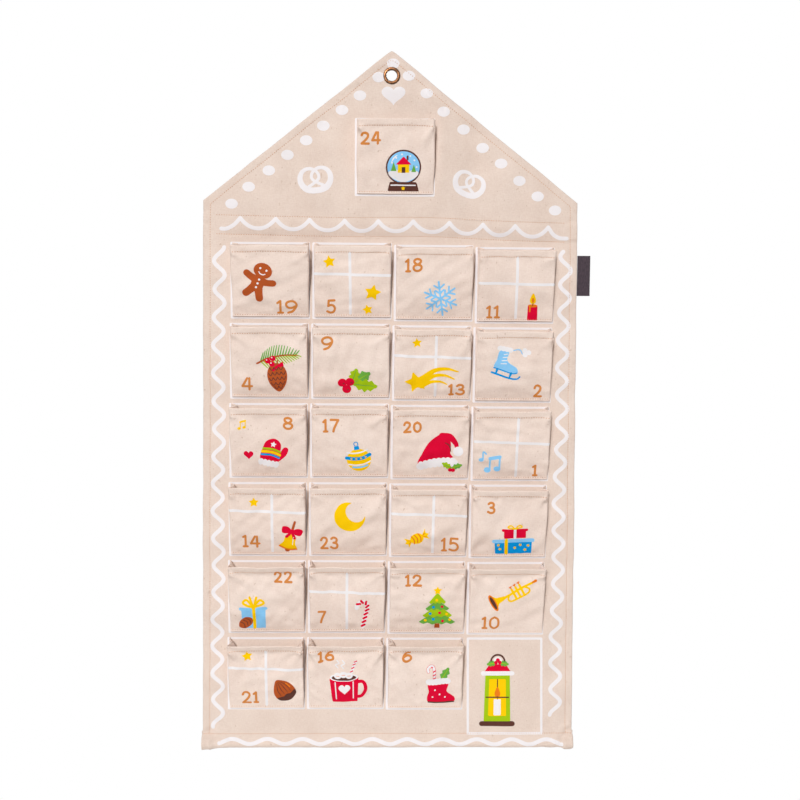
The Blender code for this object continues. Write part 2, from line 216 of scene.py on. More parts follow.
@dataclass
class Nodes:
    """A short way to place and join shader nodes in one tree."""

    tree: bpy.types.NodeTree

    def add(self, kind: str, inputs: dict | None = None, **settings) -> bpy.types.Node:
        """Place a node.

        Args:
            kind: Blender's name of the node type.
            inputs: Value or socket for each input, by name or number.
            settings: The node's own options.

        Returns:
            The new node.
        """
        node = self.tree.nodes.new(kind)
        for key, value in settings.items():
            setattr(node, key, value)
        for key, value in (inputs or {}).items():
            if isinstance(value, bpy.types.NodeSocket):
                self.tree.links.new(value, node.inputs[key])
            else:
                node.inputs[key].default_value = value
        return node

    def math(
        self, operation: str, first: Value, second: Value = 0.0, third: Value = 0.0
    ) -> bpy.types.NodeSocket:
        """Work out one sum and give its result."""
        values = {0: first, 1: second, 2: third}
        return self.add("ShaderNodeMath", values, operation=operation).outputs[0]

    def mix(self, share: Value, first: Value, second: Value) -> bpy.types.NodeSocket:
        """Mix two colours by a share and give the result."""
        values = {0: share, 6: first, 7: second}
        return self.add("ShaderNodeMix", values, data_type="RGBA").outputs[2]

    def ramp(
        self, value: Value, low: float, high: float, start: float = 0.0, end: float = 1.0
    ) -> bpy.types.NodeSocket:
        """Carry a value smoothly from one range to another, held at both ends."""
        values = {0: value, 1: low, 2: high, 3: start, 4: end}
        kind = "ShaderNodeMapRange"
        return self.add(kind, values, interpolation_type="SMOOTHSTEP").outputs[0]

    def noise(self, vector: Value, per_metre: tuple, detail: float = 2.0) -> bpy.types.NodeSocket:
        """Soft noise with its own count of features per metre along each axis."""
        scaled = self.add("ShaderNodeMapping", {0: vector, 3: per_metre}).outputs[0]
        values = {"Vector": scaled, "Scale": 1.0, "Detail": detail}
        return self.add("ShaderNodeTexNoise", values).outputs[0]


def new_group(name: str, inputs: dict[str, str], outputs: dict[str, str]) -> tuple:
    """Start a shader node group.

    Args:
        name: The group's name.
        inputs: Socket kind of each input.
        outputs: Socket kind of each output.

    Returns:
        The group, its nodes' helper, its input node and its output node.
    """
    tree = bpy.data.node_groups.new(name, "ShaderNodeTree")
    for socket, kind in inputs.items():
        tree.interface.new_socket(socket, in_out="INPUT", socket_type=kind)
    for socket, kind in outputs.items():
        tree.interface.new_socket(socket, in_out="OUTPUT", socket_type=kind)
    nodes = Nodes(tree)
    return tree, nodes, nodes.add("NodeGroupInput"), nodes.add("NodeGroupOutput")


FLOAT = "NodeSocketFloat"
COLOUR = "NodeSocketColor"


@dataclass(frozen=True)
class Weave:
    """Grain of the canvas: features per metre along x, y and z, and the heights they add."""

    weft: tuple = (240.0, 500.0, 1300.0)
    warp: tuple = (1300.0, 500.0, 240.0)
    clouds: tuple = (24.0, 24.0, 24.0)
    fine: tuple = (900.0, 900.0, 900.0)
    creases: tuple = (46.0, 46.0, 38.0)
    flecks: tuple = (330.0, 330.0, 210.0)
    check_height: float = 0.12
    yarn_height: float = 0.6
    fine_height: float = 0.25


def weave_group() -> bpy.types.NodeTree:
    """Plain weave with thick and thin yarns, shared by the canvas and the inks on it.

    The weave is the product of a sine along x and one along z. Yarns are noise
    stretched along x and along z. Clouds are broad noise.

    Returns:
        The group: Height, Yarn, Clouds and Flecks from Object coordinates.
    """
    name = "canvas_weave"
    if name in bpy.data.node_groups:
        return bpy.data.node_groups[name]
    outputs = {"Height": FLOAT, "Yarn": FLOAT, "Clouds": FLOAT, "Flecks": FLOAT}
    tree, nodes, given, result = new_group(name, {"Pitch": FLOAT, "Creases": FLOAT}, outputs)
    place = nodes.add("ShaderNodeTexCoord").outputs["Object"]
    split = nodes.add("ShaderNodeSeparateXYZ", {0: place})
    turn = nodes.math("DIVIDE", TAU, given.outputs["Pitch"])
    across = nodes.math("SINE", nodes.math("MULTIPLY", split.outputs[0], turn))
    upward = nodes.math("SINE", nodes.math("MULTIPLY", split.outputs[2], turn))
    checks = nodes.math("MULTIPLY", across, upward)
    weft = nodes.noise(place, Weave.weft)
    warp = nodes.noise(place, Weave.warp)
    yarn = nodes.math("MULTIPLY_ADD", weft, 0.5, nodes.math("MULTIPLY", warp, 0.5))
    clouds = nodes.noise(place, Weave.clouds, 4.0)
    fine = nodes.noise(place, Weave.fine)
    creases = nodes.noise(place, Weave.creases, 3.0)
    flecks = nodes.noise(place, Weave.flecks, 1.0)
    height = nodes.math("MULTIPLY", yarn, Weave.yarn_height)
    height = nodes.math("MULTIPLY_ADD", checks, Weave.check_height, height)
    height = nodes.math("MULTIPLY_ADD", fine, Weave.fine_height, height)
    folds = nodes.math("MULTIPLY", creases, given.outputs["Creases"])
    tree.links.new(nodes.math("ADD", height, folds), result.inputs["Height"])
    tree.links.new(nodes.ramp(yarn, 0.36, 0.64), result.inputs["Yarn"])
    tree.links.new(nodes.ramp(clouds, 0.3, 0.7), result.inputs["Clouds"])
    tree.links.new(nodes.ramp(flecks, 0.71, 0.79), result.inputs["Flecks"])
    return tree


class Finish:
    """A finish that makes its material once, under its own name."""

    name: str
    slot: str

    def paint(self, nodes: Nodes, shader: bpy.types.Node) -> None:
        """Wire the finish's pattern into the shader.

        Args:
            nodes: Helper in the material's tree.
            shader: The Principled BSDF.
        """
        raise NotImplementedError

    def coat(
        self, nodes: Nodes, shader: bpy.types.Node, colour: Value, height: Value, depth: float, rough: Value
    ) -> None:
        """Give the shader its colour, its relief and its roughness.

        Args:
            nodes: Helper in the material's tree.
            shader: The Principled BSDF.
            colour: Socket of the base colour.
            height: Socket of the relief.
            depth: The relief's full depth.
            rough: Socket of the roughness, or the one value that it has all over.
        """
        bump = nodes.add("ShaderNodeBump", {"Height": height, "Distance": depth})
        nodes.tree.links.new(colour, shader.inputs["Base Color"])
        nodes.tree.links.new(bump.outputs[0], shader.inputs["Normal"])
        if isinstance(rough, float):
            shader.inputs["Roughness"].default_value = rough
        else:
            nodes.tree.links.new(rough, shader.inputs["Roughness"])

    def material(self) -> bpy.types.Material:
        """Give the material, built at its first use."""
        if self.name in bpy.data.materials:
            return bpy.data.materials[self.name]
        material = bpy.data.materials.new(self.name)
        material.use_nodes = True
        shader = material.node_tree.nodes["Principled BSDF"]
        self.paint(Nodes(material.node_tree), shader)
        return material


@dataclass(frozen=True)
class Canvas(Finish):
    """Unbleached cotton canvas with brown flecks and soft creases."""

    name: str = "woven_canvas"
    slot: str = "panel_canvas"
    light: tuple = (239, 224, 213)
    deep: tuple = (222, 202, 189)
    fleck: tuple = (168, 132, 98)
    pitch: float = 1.15 * MM
    bump: float = 0.42 * MM
    creases: float = 2.2
    roughness: float = 0.93
    sheen: float = 0.12
    gloss: float = 0.1

    def paint(self, nodes: Nodes, shader: bpy.types.Node) -> None:
        """Mix light and deep yarn colours by the yarns and clouds, then add flecks."""
        weave = nodes.add("ShaderNodeGroup", node_tree=weave_group())
        weave.inputs["Pitch"].default_value = self.pitch
        weave.inputs["Creases"].default_value = self.creases
        share = nodes.math("MULTIPLY_ADD", weave.outputs["Yarn"], 0.42, 0.15)
        share = nodes.math("MULTIPLY_ADD", weave.outputs["Clouds"], 0.28, share)
        cloth = nodes.mix(share, linear(self.deep), linear(self.light))
        marked = nodes.math("MULTIPLY", weave.outputs["Flecks"], 0.35)
        cloth = nodes.mix(marked, cloth, linear(self.fleck))
        rough = nodes.math("MULTIPLY_ADD", weave.outputs["Yarn"], -0.08, self.roughness)
        self.coat(nodes, shader, cloth, weave.outputs["Height"], self.bump, rough)
        shader.inputs["Sheen Weight"].default_value = self.sheen
        shader.inputs["Sheen Tint"].default_value = linear(self.light)
        shader.inputs["Specular IOR Level"].default_value = self.gloss


@dataclass(frozen=True)
class Print(Finish):
    """Screen-printed ink, with the weave under it and pinholes of bare cloth."""

    name: str
    ink: tuple
    slot: str = "picture_print"
    cover: float = 0.45
    wear: float = 0.06
    bump: float = 0.3 * MM
    roughness: float = 0.75
    gloss: float = 0.08

    def paint(self, nodes: Nodes, shader: bpy.types.Node) -> None:
        """Let the deep yarns show a little of the cloth's colour through the ink."""
        weave = nodes.add("ShaderNodeGroup", node_tree=weave_group())
        weave.inputs["Pitch"].default_value = Canvas.pitch
        weave.inputs["Creases"].default_value = Canvas.creases
        worn = tuple(i + self.wear * (c - i) for i, c in zip(self.ink, Canvas.deep))
        share = nodes.ramp(weave.outputs["Yarn"], 0.0, 0.5, self.cover, 1.0)
        colour = nodes.mix(share, linear(worn), linear(self.ink))
        rough = nodes.math("MULTIPLY_ADD", weave.outputs["Clouds"], 0.1, self.roughness)
        self.coat(nodes, shader, colour, weave.outputs["Height"], self.bump, rough)
        shader.inputs["Specular IOR Level"].default_value = self.gloss


@dataclass(frozen=True)
class Thread(Finish):
    """Twisted sewing thread."""

    name: str = "twisted_thread"
    slot: str = "sewing_thread"
    light: tuple = (218, 166, 122)
    deep: tuple = (194, 138, 94)
    twist: float = 0.5 * MM
    bump: float = 0.05 * MM
    roughness: float = 0.7

    def paint(self, nodes: Nodes, shader: bpy.types.Node) -> None:
        """Slant a sine across the thread for its twist, and vary its colour by noise."""
        place = nodes.add("ShaderNodeTexCoord").outputs["Object"]
        split = nodes.add("ShaderNodeSeparateXYZ", {0: place})
        slant = nodes.math("ADD", split.outputs[0], split.outputs[2])
        strand = nodes.math("SINE", nodes.math("MULTIPLY", slant, TAU / self.twist))
        tone = nodes.noise(place, (260.0, 260.0, 260.0))
        share = nodes.math("MULTIPLY_ADD", strand, 0.2, nodes.ramp(tone, 0.3, 0.7))
        colour = nodes.mix(share, linear(self.deep), linear(self.light))
        self.coat(nodes, shader, colour, strand, self.bump, self.roughness)


@dataclass(frozen=True)
class Wood(Finish):
    """Plain round wooden rod with long grain."""

    name: str = "rod_wood"
    slot: str = "wood"
    light: tuple = (222, 188, 142)
    deep: tuple = (178, 134, 88)
    bump: float = 0.1 * MM
    roughness: float = 0.6

    def paint(self, nodes: Nodes, shader: bpy.types.Node) -> None:
        """Stretch noise along the rod for the grain and its pores."""
        place = nodes.add("ShaderNodeTexCoord").outputs["Object"]
        grain = nodes.noise(place, (14.0, 420.0, 420.0), 4.0)
        pores = nodes.noise(place, (60.0, 1500.0, 1500.0), 2.0)
        share = nodes.math("MULTIPLY_ADD", pores, 0.3, nodes.ramp(grain, 0.35, 0.65, 0.0, 0.8))
        colour = nodes.mix(share, linear(self.deep), linear(self.light))
        rough = nodes.ramp(pores, 0.3, 0.7, self.roughness + 0.1, self.roughness)
        self.coat(nodes, shader, colour, pores, self.bump, rough)


@dataclass(frozen=True)
class Brass(Finish):
    """Aged copper-toned brass with clouds of tarnish and fine rub marks."""

    name: str = "rubbed_brass_painted_reflection"
    slot: str = "aged_brass"
    # Both colours are darkened to stand in for the dark surroundings that the metal reflects: a painted
    # reflection.
    light: tuple = (106, 72, 48)
    deep: tuple = (66, 44, 30)
    bump: float = 0.01 * MM
    roughness: float = 0.22

    def paint(self, nodes: Nodes, shader: bpy.types.Node) -> None:
        """Mix bright and dark metal by clouds of tarnish and fine rub marks."""
        place = nodes.add("ShaderNodeTexCoord").outputs["Object"]
        tarnish = nodes.noise(place, (230.0, 230.0, 230.0), 5.0)
        rubs = nodes.noise(place, (500.0, 900.0, 2400.0), 2.0)
        share = nodes.math("MULTIPLY_ADD", rubs, 0.3, nodes.ramp(tarnish, 0.36, 0.6, 0.0, 0.8))
        colour = nodes.mix(share, linear(self.deep), linear(self.light))
        rough = nodes.ramp(tarnish, 0.3, 0.7, self.roughness + 0.2, self.roughness)
        self.coat(nodes, shader, colour, rubs, self.bump, rough)
        shader.inputs["Metallic"].default_value = 1.0


@dataclass(frozen=True)
class Label(Finish):
    """Dark woven label tape with fine ribs, bare of any word."""

    name: str = "label_tape"
    slot: str = "woven_label"
    light: tuple = (75, 59, 69)
    deep: tuple = (39, 29, 38)
    rib: float = 0.55 * MM
    bump: float = 0.06 * MM
    roughness: float = 0.75

    def paint(self, nodes: Nodes, shader: bpy.types.Node) -> None:
        """Ribs are a sine up the tape, crossed by faint warp noise."""
        place = nodes.add("ShaderNodeTexCoord").outputs["Object"]
        split = nodes.add("ShaderNodeSeparateXYZ", {0: place})
        ribs = nodes.math("SINE", nodes.math("MULTIPLY", split.outputs[2], TAU / self.rib))
        yarn = nodes.noise(place, (1400.0, 1400.0, 240.0))
        share = nodes.math("MULTIPLY_ADD", ribs, 0.3, nodes.ramp(yarn, 0.3, 0.7, 0.1, 0.8))
        colour = nodes.mix(share, linear(self.deep), linear(self.light))
        self.coat(nodes, shader, colour, ribs, self.bump, self.roughness)


CANVAS = Canvas()
# The panel's canvas in lighter colours: painted light that makes up for the light the tilted pocket fronts
# lose.
POCKET_CANVAS_PAINTED_LIGHTER = Canvas(
    name="woven_pocket_canvas_painted_lighter",
    slot="pocket_canvas",
    light=(250, 235, 225),
    deep=(233, 213, 201),
    creases=2.8,
)
THREAD = Thread()
WOOD = Wood()
BRASS = Brass()
TAPE = Label()


class Ink(Enum):
    """The printing inks, each with its own finish."""

    WHITE = Print("white_ink", (243, 241, 244), slot="white_print")
    ICING = Print("icing_ink", (242, 239, 242), slot="white_print")
    OCHRE = Print("ochre_ink", (214, 138, 72), slot="number_print")
    RED = Print("red_ink", (224, 4, 54))
    YELLOW = Print("yellow_ink", (255, 207, 2))
    SKY = Print("sky_ink", (140, 206, 252))
    BLUE = Print("blue_ink", (2, 152, 228))
    GREEN = Print("green_ink", (108, 176, 70))
    LIME = Print("lime_ink", (164, 200, 20))
    BROWN = Print("brown_ink", (182, 86, 40))
    DARK = Print("dark_ink", (92, 56, 48))
    ORANGE = Print("orange_ink", (236, 128, 28))


WHITE, ICING, OCHRE, RED, YELLOW, SKY, BLUE, GREEN, LIME, BROWN, DARK, ORANGE = Ink


class MeshStack:
    """Gathers closed skins and makes one object of them, with a slot for each finish."""

    def __init__(self) -> None:
        """Start empty."""
        self.points: list[Array] = []
        self.faces: list[Array] = []
        self.marks: list[Array] = []
        self.finishes: list[Finish] = []
        self.count = 0

    def add(self, points: Array, faces: Array, finish: Finish) -> None:
        """Take in closed skins, turned outwards by the sign of their volume.

        Args:
            points: Their points.
            faces: Their quads; a triangle ends in -1.
            finish: The finish that they all take.
        """
        points = np.asarray(points).reshape(-1, 3)
        if volume_of(points, faces) < 0.0:
            faces = turned_over(faces)
        if finish not in self.finishes:
            self.finishes.append(finish)
        self.points.append(points)
        self.faces.append(np.where(faces < 0, -1, faces + self.count))
        self.marks.append(np.full(len(faces), self.finishes.index(finish)))
        self.count += len(points)

    def build(self, name: str) -> bpy.types.Object:
        """Make the object.

        Args:
            name: The piece's name.

        Returns:
            The object, at the origin, smooth but for its sharp edges.
        """
        points = np.concatenate(self.points)
        faces = np.concatenate(self.faces)
        corners = faces[faces >= 0]
        counts = np.where(faces[:, 3] < 0, 3, 4)
        mesh = bpy.data.meshes.new(name)
        mesh.vertices.add(len(points))
        mesh.vertices.foreach_set("co", points.ravel())
        mesh.loops.add(len(corners))
        mesh.loops.foreach_set("vertex_index", corners)
        mesh.polygons.add(len(faces))
        mesh.polygons.foreach_set("loop_start", np.concatenate(([0], np.cumsum(counts)[:-1])))
        mesh.polygons.foreach_set("material_index", np.concatenate(self.marks))
        mesh.polygons.foreach_set("use_smooth", np.ones(len(faces), dtype=bool))
        mesh.update(calc_edges=True)
        mesh.validate()
        mesh.set_sharp_from_angle(angle=SHARP_ANGLE)
        for finish in self.finishes:
            mesh.materials.append(finish.material())
        piece = bpy.data.objects.new(name, mesh)
        bpy.context.scene.collection.objects.link(piece)
        LOG.info("%s: %d points, %d faces", name, len(points), len(faces))
        return piece


def one_piece(name: str, skin: tuple[Array, Array], finish: Finish) -> bpy.types.Object:
    """Make an object of one closed skin in one finish."""
    stack = MeshStack()
    stack.add(*skin, finish)
    return stack.build(name)


def soften(outline: Array, times: int) -> Array:
    """Round the corners of a closed outline: each point moves to the mean of its neighbours and itself."""
    for _ in range(times):
        outline = (np.roll(outline, 1, axis=0) + 2 * outline + np.roll(outline, -1, axis=0)) / 4
    return outline


def straight(points: list[tuple[float, float]], step: float, closed: bool = False) -> Array:
    """Walk along straight sides in even steps."""
    knots = np.asarray(points + points[:1] if closed else points, dtype=float)
    run = run_along(knots)
    count = max(int(round(run[-1] / step)), len(points))
    places = np.union1d(np.linspace(0.0, run[-1], count + 1), run)
    places = places[np.concatenate(([True], np.diff(places) > 0.05 * step))]
    line = np.column_stack([np.interp(places, run, knots[:, k]) for k in range(2)])
    return line[:-1] if closed else line


def arc(u: float, v: float, radius: float, first: float, last: float, flat: float = 1.0) -> list:
    """Points of an arc about a centre, from one angle in degrees to another."""
    turn = np.radians(np.linspace(first, last, max(int(abs(last - first) / 24), 3) + 1))
    return list(zip(u + radius * np.cos(turn), v + radius * flat * np.sin(turn)))


class Sketch:
    """Draws inks on a cloth as thin closed films, in millimetres of flat cloth.

    A film's top lies a little above the cloth, each level above the one it is
    printed on, and its underside lies in the cloth.
    """

    BASE = 0.13 * MM
    LEVEL = 0.04 * MM
    UNDER = 0.22 * MM
    HALO = 0.42
    HALO_LEVEL = -0.6
    GRAIN = 1.5
    FINE_GRAIN = 0.45
    STRAIGHT_GRAIN = 1.6
    OVAL_GRAIN = 1.3
    RING = 2.4

    def __init__(self, surface: Surface, base: float = BASE) -> None:
        """Start on a cloth.

        Args:
            surface: The cloth's own place function.
            base: Height of the first level above the cloth.
        """
        self.surface = surface
        self.base = base
        self.stack = MeshStack()
        self.at()

    def at(self, u: float = 0.0, v: float = 0.0, turn: float = 0.0, size: float = 1.0) -> "Sketch":
        """Move the drawing's origin, turn it by degrees and size it."""
        self.origin = np.array([u, v])
        angle = math.radians(turn)
        self.spin = size * np.array([[math.cos(angle), -math.sin(angle)], [math.sin(angle), math.cos(angle)]])
        return self

    def film(self, flat: Array, faces: Array, edge: Array, ink: Ink, on: float) -> None:
        """Put a film on the cloth.

        Args:
            flat: Its points in the drawing.
            faces: Its faces.
            edge: Its border points in turning sense.
            ink: Its ink.
            on: Its level above the cloth.
        """
        places = (flat @ self.spin.T + self.origin) * MM
        lift = self.base + on * self.LEVEL
        top = self.surface(places[:, 0], places[:, 1], np.full(len(places), lift))
        under = self.surface(places[:, 0], places[:, 1], np.full(len(places), -self.UNDER))
        self.stack.add(*closed_skin(top, under, faces, edge), ink.value)

    def fill(
        self, outline: Array, ink: Ink, on: float = 0, halo: bool = True, centre: Array | tuple | None = None
    ) -> "Sketch":
        """Fill an outline that is seen whole from its centre: rings shrink from it to the centre."""
        outline = np.asarray(outline, dtype=float)
        following = np.roll(outline, -1, axis=0)
        area = np.sum(outline[:, 0] * following[:, 1] - following[:, 0] * outline[:, 1])
        if area < 0:
            outline = outline[::-1]
        middle = outline.mean(axis=0) if centre is None else np.asarray(centre, dtype=float)
        if halo and on == 0 and ink is not WHITE:
            side = np.roll(outline, -1, axis=0) - np.roll(outline, 1, axis=0)
            side /= np.linalg.norm(side, axis=1, keepdims=True) + 1e-9
            wider = outline + self.HALO * np.column_stack((side[:, 1], -side[:, 0]))
            self.fill(wider, WHITE, self.HALO_LEVEL, False, middle)
        reach = np.linalg.norm(outline - middle, axis=1).max()
        rings = max(int(math.ceil(reach / self.RING)), 1)
        shares = (np.arange(rings) + 1.0)[:, None, None] / rings
        points = (middle + (outline - middle)[None] * shares).reshape(-1, 2)
        count = len(outline)
        here = np.arange(count)
        ahead = np.roll(here, -1)
        centre_fan = np.stack((here, ahead, np.full(count, rings * count), np.full(count, -1)), axis=1)
        start = (np.arange(rings - 1) * count)[:, None]
        band = np.stack((here + start + count, ahead + start + count, ahead + start, here + start), axis=-1)
        faces = np.vstack((band.reshape(-1, 4), centre_fan))
        self.film(np.vstack((points, middle)), faces, here + (rings - 1) * count, ink, on)
        return self

    def shape(self, points: list, ink: Ink, on: float = 0, soft: int = -1, halo: bool = True) -> "Sketch":
        """Fill a closed outline: a smooth line through its points, or straight sides softened."""
        size = np.ptp(np.asarray(points, dtype=float), axis=0).max()
        step = min(self.GRAIN, max(size / 16, self.FINE_GRAIN))
        outline = spline(points, step, True) if soft < 0 else soften(straight(points, step, True), soft)
        return self.fill(outline, ink, on, halo)

    def block(
        self, foot_half: float, foot: float, top_half: float, top: float, ink: Ink,
        on: float = 0, soft: int = 1
    ) -> "Sketch":
        """Fill a block that narrows or widens from its foot to its top."""
        corners = [(-foot_half, foot), (foot_half, foot), (top_half, top), (-top_half, top)]
        return self.shape(corners, ink, on, soft)

    def dots(self, places: list, half_u: float, half_v: float, ink: Ink, on: float = 0) -> "Sketch":
        """Fill like ovals at many places."""
        for u, v in places:
            self.oval(u, v, half_u, half_v, ink, on)
        return self

    def oval(self, u: float, v: float, half_u: float, half_v: float, ink: Ink, on: float = 0) -> "Sketch":
        """Fill an oval."""
        count = int(np.clip(TAU * max(half_u, half_v) / self.OVAL_GRAIN, 10, 60))
        turn = np.linspace(0.0, TAU, count, endpoint=False)
        outline = np.column_stack((u + half_u * np.cos(turn), v + half_v * np.sin(turn)))
        return self.fill(outline, ink, on, centre=(u, v))

    def line(
        self, points: list, width: float | list, ink: Ink, on: float = 0, smooth: bool = True
    ) -> "Sketch":
        """Draw a stroke with round ends: its width runs along a path, spaced evenly in shares."""
        curved = smooth and len(points) > 2
        path = spline(points, self.GRAIN * 0.8, False) if curved else straight(points, self.STRAIGHT_GRAIN)
        widths = np.atleast_1d(np.asarray(width, dtype=float))
        share = np.linspace(0.0, 1.0, len(path))
        half = np.interp(share, np.linspace(0.0, 1.0, len(widths)), widths) / 2
        tangent = np.gradient(path, axis=0)
        tangent /= np.linalg.norm(tangent, axis=1, keepdims=True) + 1e-9
        cap = np.radians(np.array([82.0, 60.0, 32.0]))
        lead = path[0] - tangent[0] * half[0] * np.sin(cap)[:, None]
        trail = path[-1] + tangent[-1] * half[-1] * np.sin(cap[::-1])[:, None]
        path = np.vstack((lead, path, trail))
        ends = (np.repeat(tangent[:1], 3, axis=0), tangent, np.repeat(tangent[-1:], 3, axis=0))
        tangent = np.vstack(ends)
        half = np.concatenate((half[0] * np.cos(cap), half, half[-1] * np.cos(cap[::-1])))
        across = np.linspace(-1.0, 1.0, max(int(widths.max() / 2.4) + 2, 3))
        normal = np.column_stack((-tangent[:, 1], tangent[:, 0]))
        flat = path[:, None] + normal[:, None] * (half[:, None] * across)[..., None]
        rows, columns = flat.shape[:2]
        self.film(flat.reshape(-1, 2), grid_faces(rows, columns), grid_edge(rows, columns), ink, on)
        return self

    def star(self, u: float, v: float, wide: float, turn: float, ink: Ink, on: float = 0) -> "Sketch":
        """A five-pointed star with softened tips: straight sides between two circles."""
        angles = math.radians(turn + 90.0) + np.arange(10) * TAU / 10
        radii = np.where(np.arange(10) % 2 == 0, wide * 0.54, wide * 0.27)
        corners = list(zip(u + radii * np.cos(angles), v + radii * np.sin(angles)))
        outline = soften(straight(corners, max(wide / 22, 0.45), True), 3)
        return self.fill(outline, ink, on, centre=(u, v))

    def heart(self, u: float, v: float, wide: float, tall: float, ink: Ink, on: float = 0) -> "Sketch":
        """A heart: across goes the cube of a sine, upward a sum of cosines of one to four turns."""
        t = np.linspace(0.0, TAU, 44, endpoint=False)
        across = u + wide / 2 * np.sin(t) ** 3
        curve = 13 * np.cos(t) - 5 * np.cos(2 * t) - 2 * np.cos(3 * t) - np.cos(4 * t)
        upward = v + tall * (curve + 2.5) / 28.9
        return self.fill(np.column_stack((across, upward)), ink, on, centre=(u, v))

    def number(self, value: int, u: float, v: float, wide: float, tall: float) -> "Sketch":
        """Write a number of one or two figures, fitted into its width and height.

        Args:
            value: The number.
            u: Middle of the number across.
            v: Its middle upward.
            wide: Its whole width.
            tall: Its whole height.

        Returns:
            The sketch.
        """
        stroke = 2.9
        figures = str(value)
        weights = [0.5 if figure == "1" else 1.0 for figure in figures]
        gap = stroke + 1.5
        room = wide - stroke - gap * (len(figures) - 1)
        left = u - wide / 2 + stroke / 2
        foot = v - tall / 2 + stroke / 2
        for figure, weight in zip(figures, weights):
            box = room * weight / sum(weights)
            for smooth, points in FIGURES[figure]:
                places = [(left + p * box, foot + q * (tall - stroke)) for p, q in points]
                self.line(places, stroke, OCHRE, 0, smooth)
            left += box + gap
        return self

    def cross(self, upright: tuple, level: tuple) -> "Sketch":
        """Draw a window's cross from the ends of its upright bar and of its level bar."""
        self.line(list(upright), 3.4, WHITE, 0.5, True)
        self.line(list(level), 3.4, WHITE, 0, True)
        return self

    def build(self, name: str) -> bpy.types.Object:
        """Make the prints one piece."""
        return self.stack.build(name)


FIGURES = {
    "0": [(True, [(0.5, 1.0), (0.9, 0.82), (1.0, 0.5), (0.9, 0.18), (0.5, 0.0), (0.1, 0.18), (0.0, 0.5),
                  (0.1, 0.82), (0.5, 1.0)])],
    "1": [(False, [(0.56, 1.0), (0.56, 0.0)]), (False, [(0.0, 0.84), (0.56, 1.0)]),
          (False, [(0.1, 0.0), (1.0, 0.0)])],
    "2": [(True, [(0.04, 0.76), (0.2, 0.96), (0.52, 1.0), (0.86, 0.86), (0.86, 0.62), (0.55, 0.32),
                  (0.06, 0.0)]),
          (False, [(0.06, 0.0), (1.0, 0.0)])],
    "3": [(True, [(0.06, 0.88), (0.32, 1.0), (0.72, 0.96), (0.88, 0.78), (0.72, 0.58), (0.38, 0.53)]),
          (True, [(0.38, 0.53), (0.82, 0.46), (1.0, 0.27), (0.84, 0.06), (0.44, 0.0), (0.0, 0.12)])],
    "4": [(False, [(0.74, 0.0), (0.74, 1.0)]), (False, [(0.5, 1.0), (0.0, 0.3)]),
          (False, [(0.0, 0.3), (1.0, 0.3)])],
    "5": [(False, [(0.92, 1.0), (0.16, 1.0)]), (False, [(0.16, 1.0), (0.1, 0.56)]),
          (True, [(0.1, 0.56), (0.44, 0.64), (0.82, 0.56), (1.0, 0.32), (0.82, 0.07), (0.42, 0.0),
                  (0.0, 0.1)])],
    "6": [(True, [(0.82, 1.0), (0.42, 0.88), (0.1, 0.56), (0.0, 0.28), (0.22, 0.04), (0.56, 0.0),
                  (0.92, 0.12), (1.0, 0.34), (0.82, 0.54), (0.48, 0.58), (0.1, 0.44)])],
    "7": [(False, [(0.0, 1.0), (1.0, 1.0)]), (True, [(1.0, 1.0), (0.7, 0.62), (0.46, 0.3), (0.34, 0.0)])],
    "8": [(True, [(0.5, 1.0), (0.84, 0.92), (0.9, 0.74), (0.5, 0.54), (0.1, 0.74), (0.16, 0.92), (0.5, 1.0)]),
          (True, [(0.5, 0.54), (0.9, 0.44), (1.0, 0.24), (0.8, 0.05), (0.5, 0.0), (0.2, 0.05), (0.0, 0.24),
                  (0.1, 0.44), (0.5, 0.54)])],
    "9": [(True, [(0.18, 0.0), (0.58, 0.12), (0.9, 0.44), (1.0, 0.72), (0.78, 0.96), (0.44, 1.0),
                  (0.08, 0.88), (0.0, 0.66), (0.18, 0.46), (0.52, 0.42), (0.9, 0.56)])],
}

NUMBER_PLACES = {
    24: (-31.0, 67.6, 25.5, 15.8), 19: (20.4, 12.8, 26.6, 18.1), 5: (-26.7, 13.6, 12.2, 18.5),
    18: (-26.1, 69.1, 22.1, 17.4), 11: (-27.8, 12.3, 17.8, 17.3), 4: (-28.1, 17.5, 14.7, 17.8),
    9: (-29.4, 70.8, 15.1, 17.9), 13: (30.5, 12.9, 21.5, 16.0), 2: (31.0, 13.4, 11.6, 17.2),
    8: (24.9, 70.9, 13.0, 16.5), 17: (-23.6, 67.8, 21.5, 17.2), 20: (-23.6, 68.0, 23.5, 14.7),
    1: (30.6, 12.0, 7.7, 15.9), 14: (-21.2, 18.6, 23.4, 18.2), 23: (-24.3, 16.1, 23.8, 17.6),
    15: (27.1, 15.5, 23.2, 19.5), 3: (-23.9, 67.7, 10.9, 16.0), 22: (21.3, 76.0, 23.8, 15.7),
    7: (-32.1, 21.2, 11.1, 18.5), 12: (-17.9, 72.6, 21.8, 16.2), 10: (-20.2, 15.5, 23.2, 19.3),
    21: (-20.6, 16.5, 22.3, 18.5), 16: (-25.0, 74.4, 21.1, 14.7), 6: (-23.8, 74.4, 13.1, 14.6),
}

CROSS_PLACES = {
    5: (-3.0, 54.8), 11: (0.3, 48.8), 13: (3.8, 55.5), 1: (6.8, 49.6),
    14: (5.8, 58.9), 15: (5.3, 56.5), 7: (-0.2, 55.5), 21: (0.5, 57.3),
}


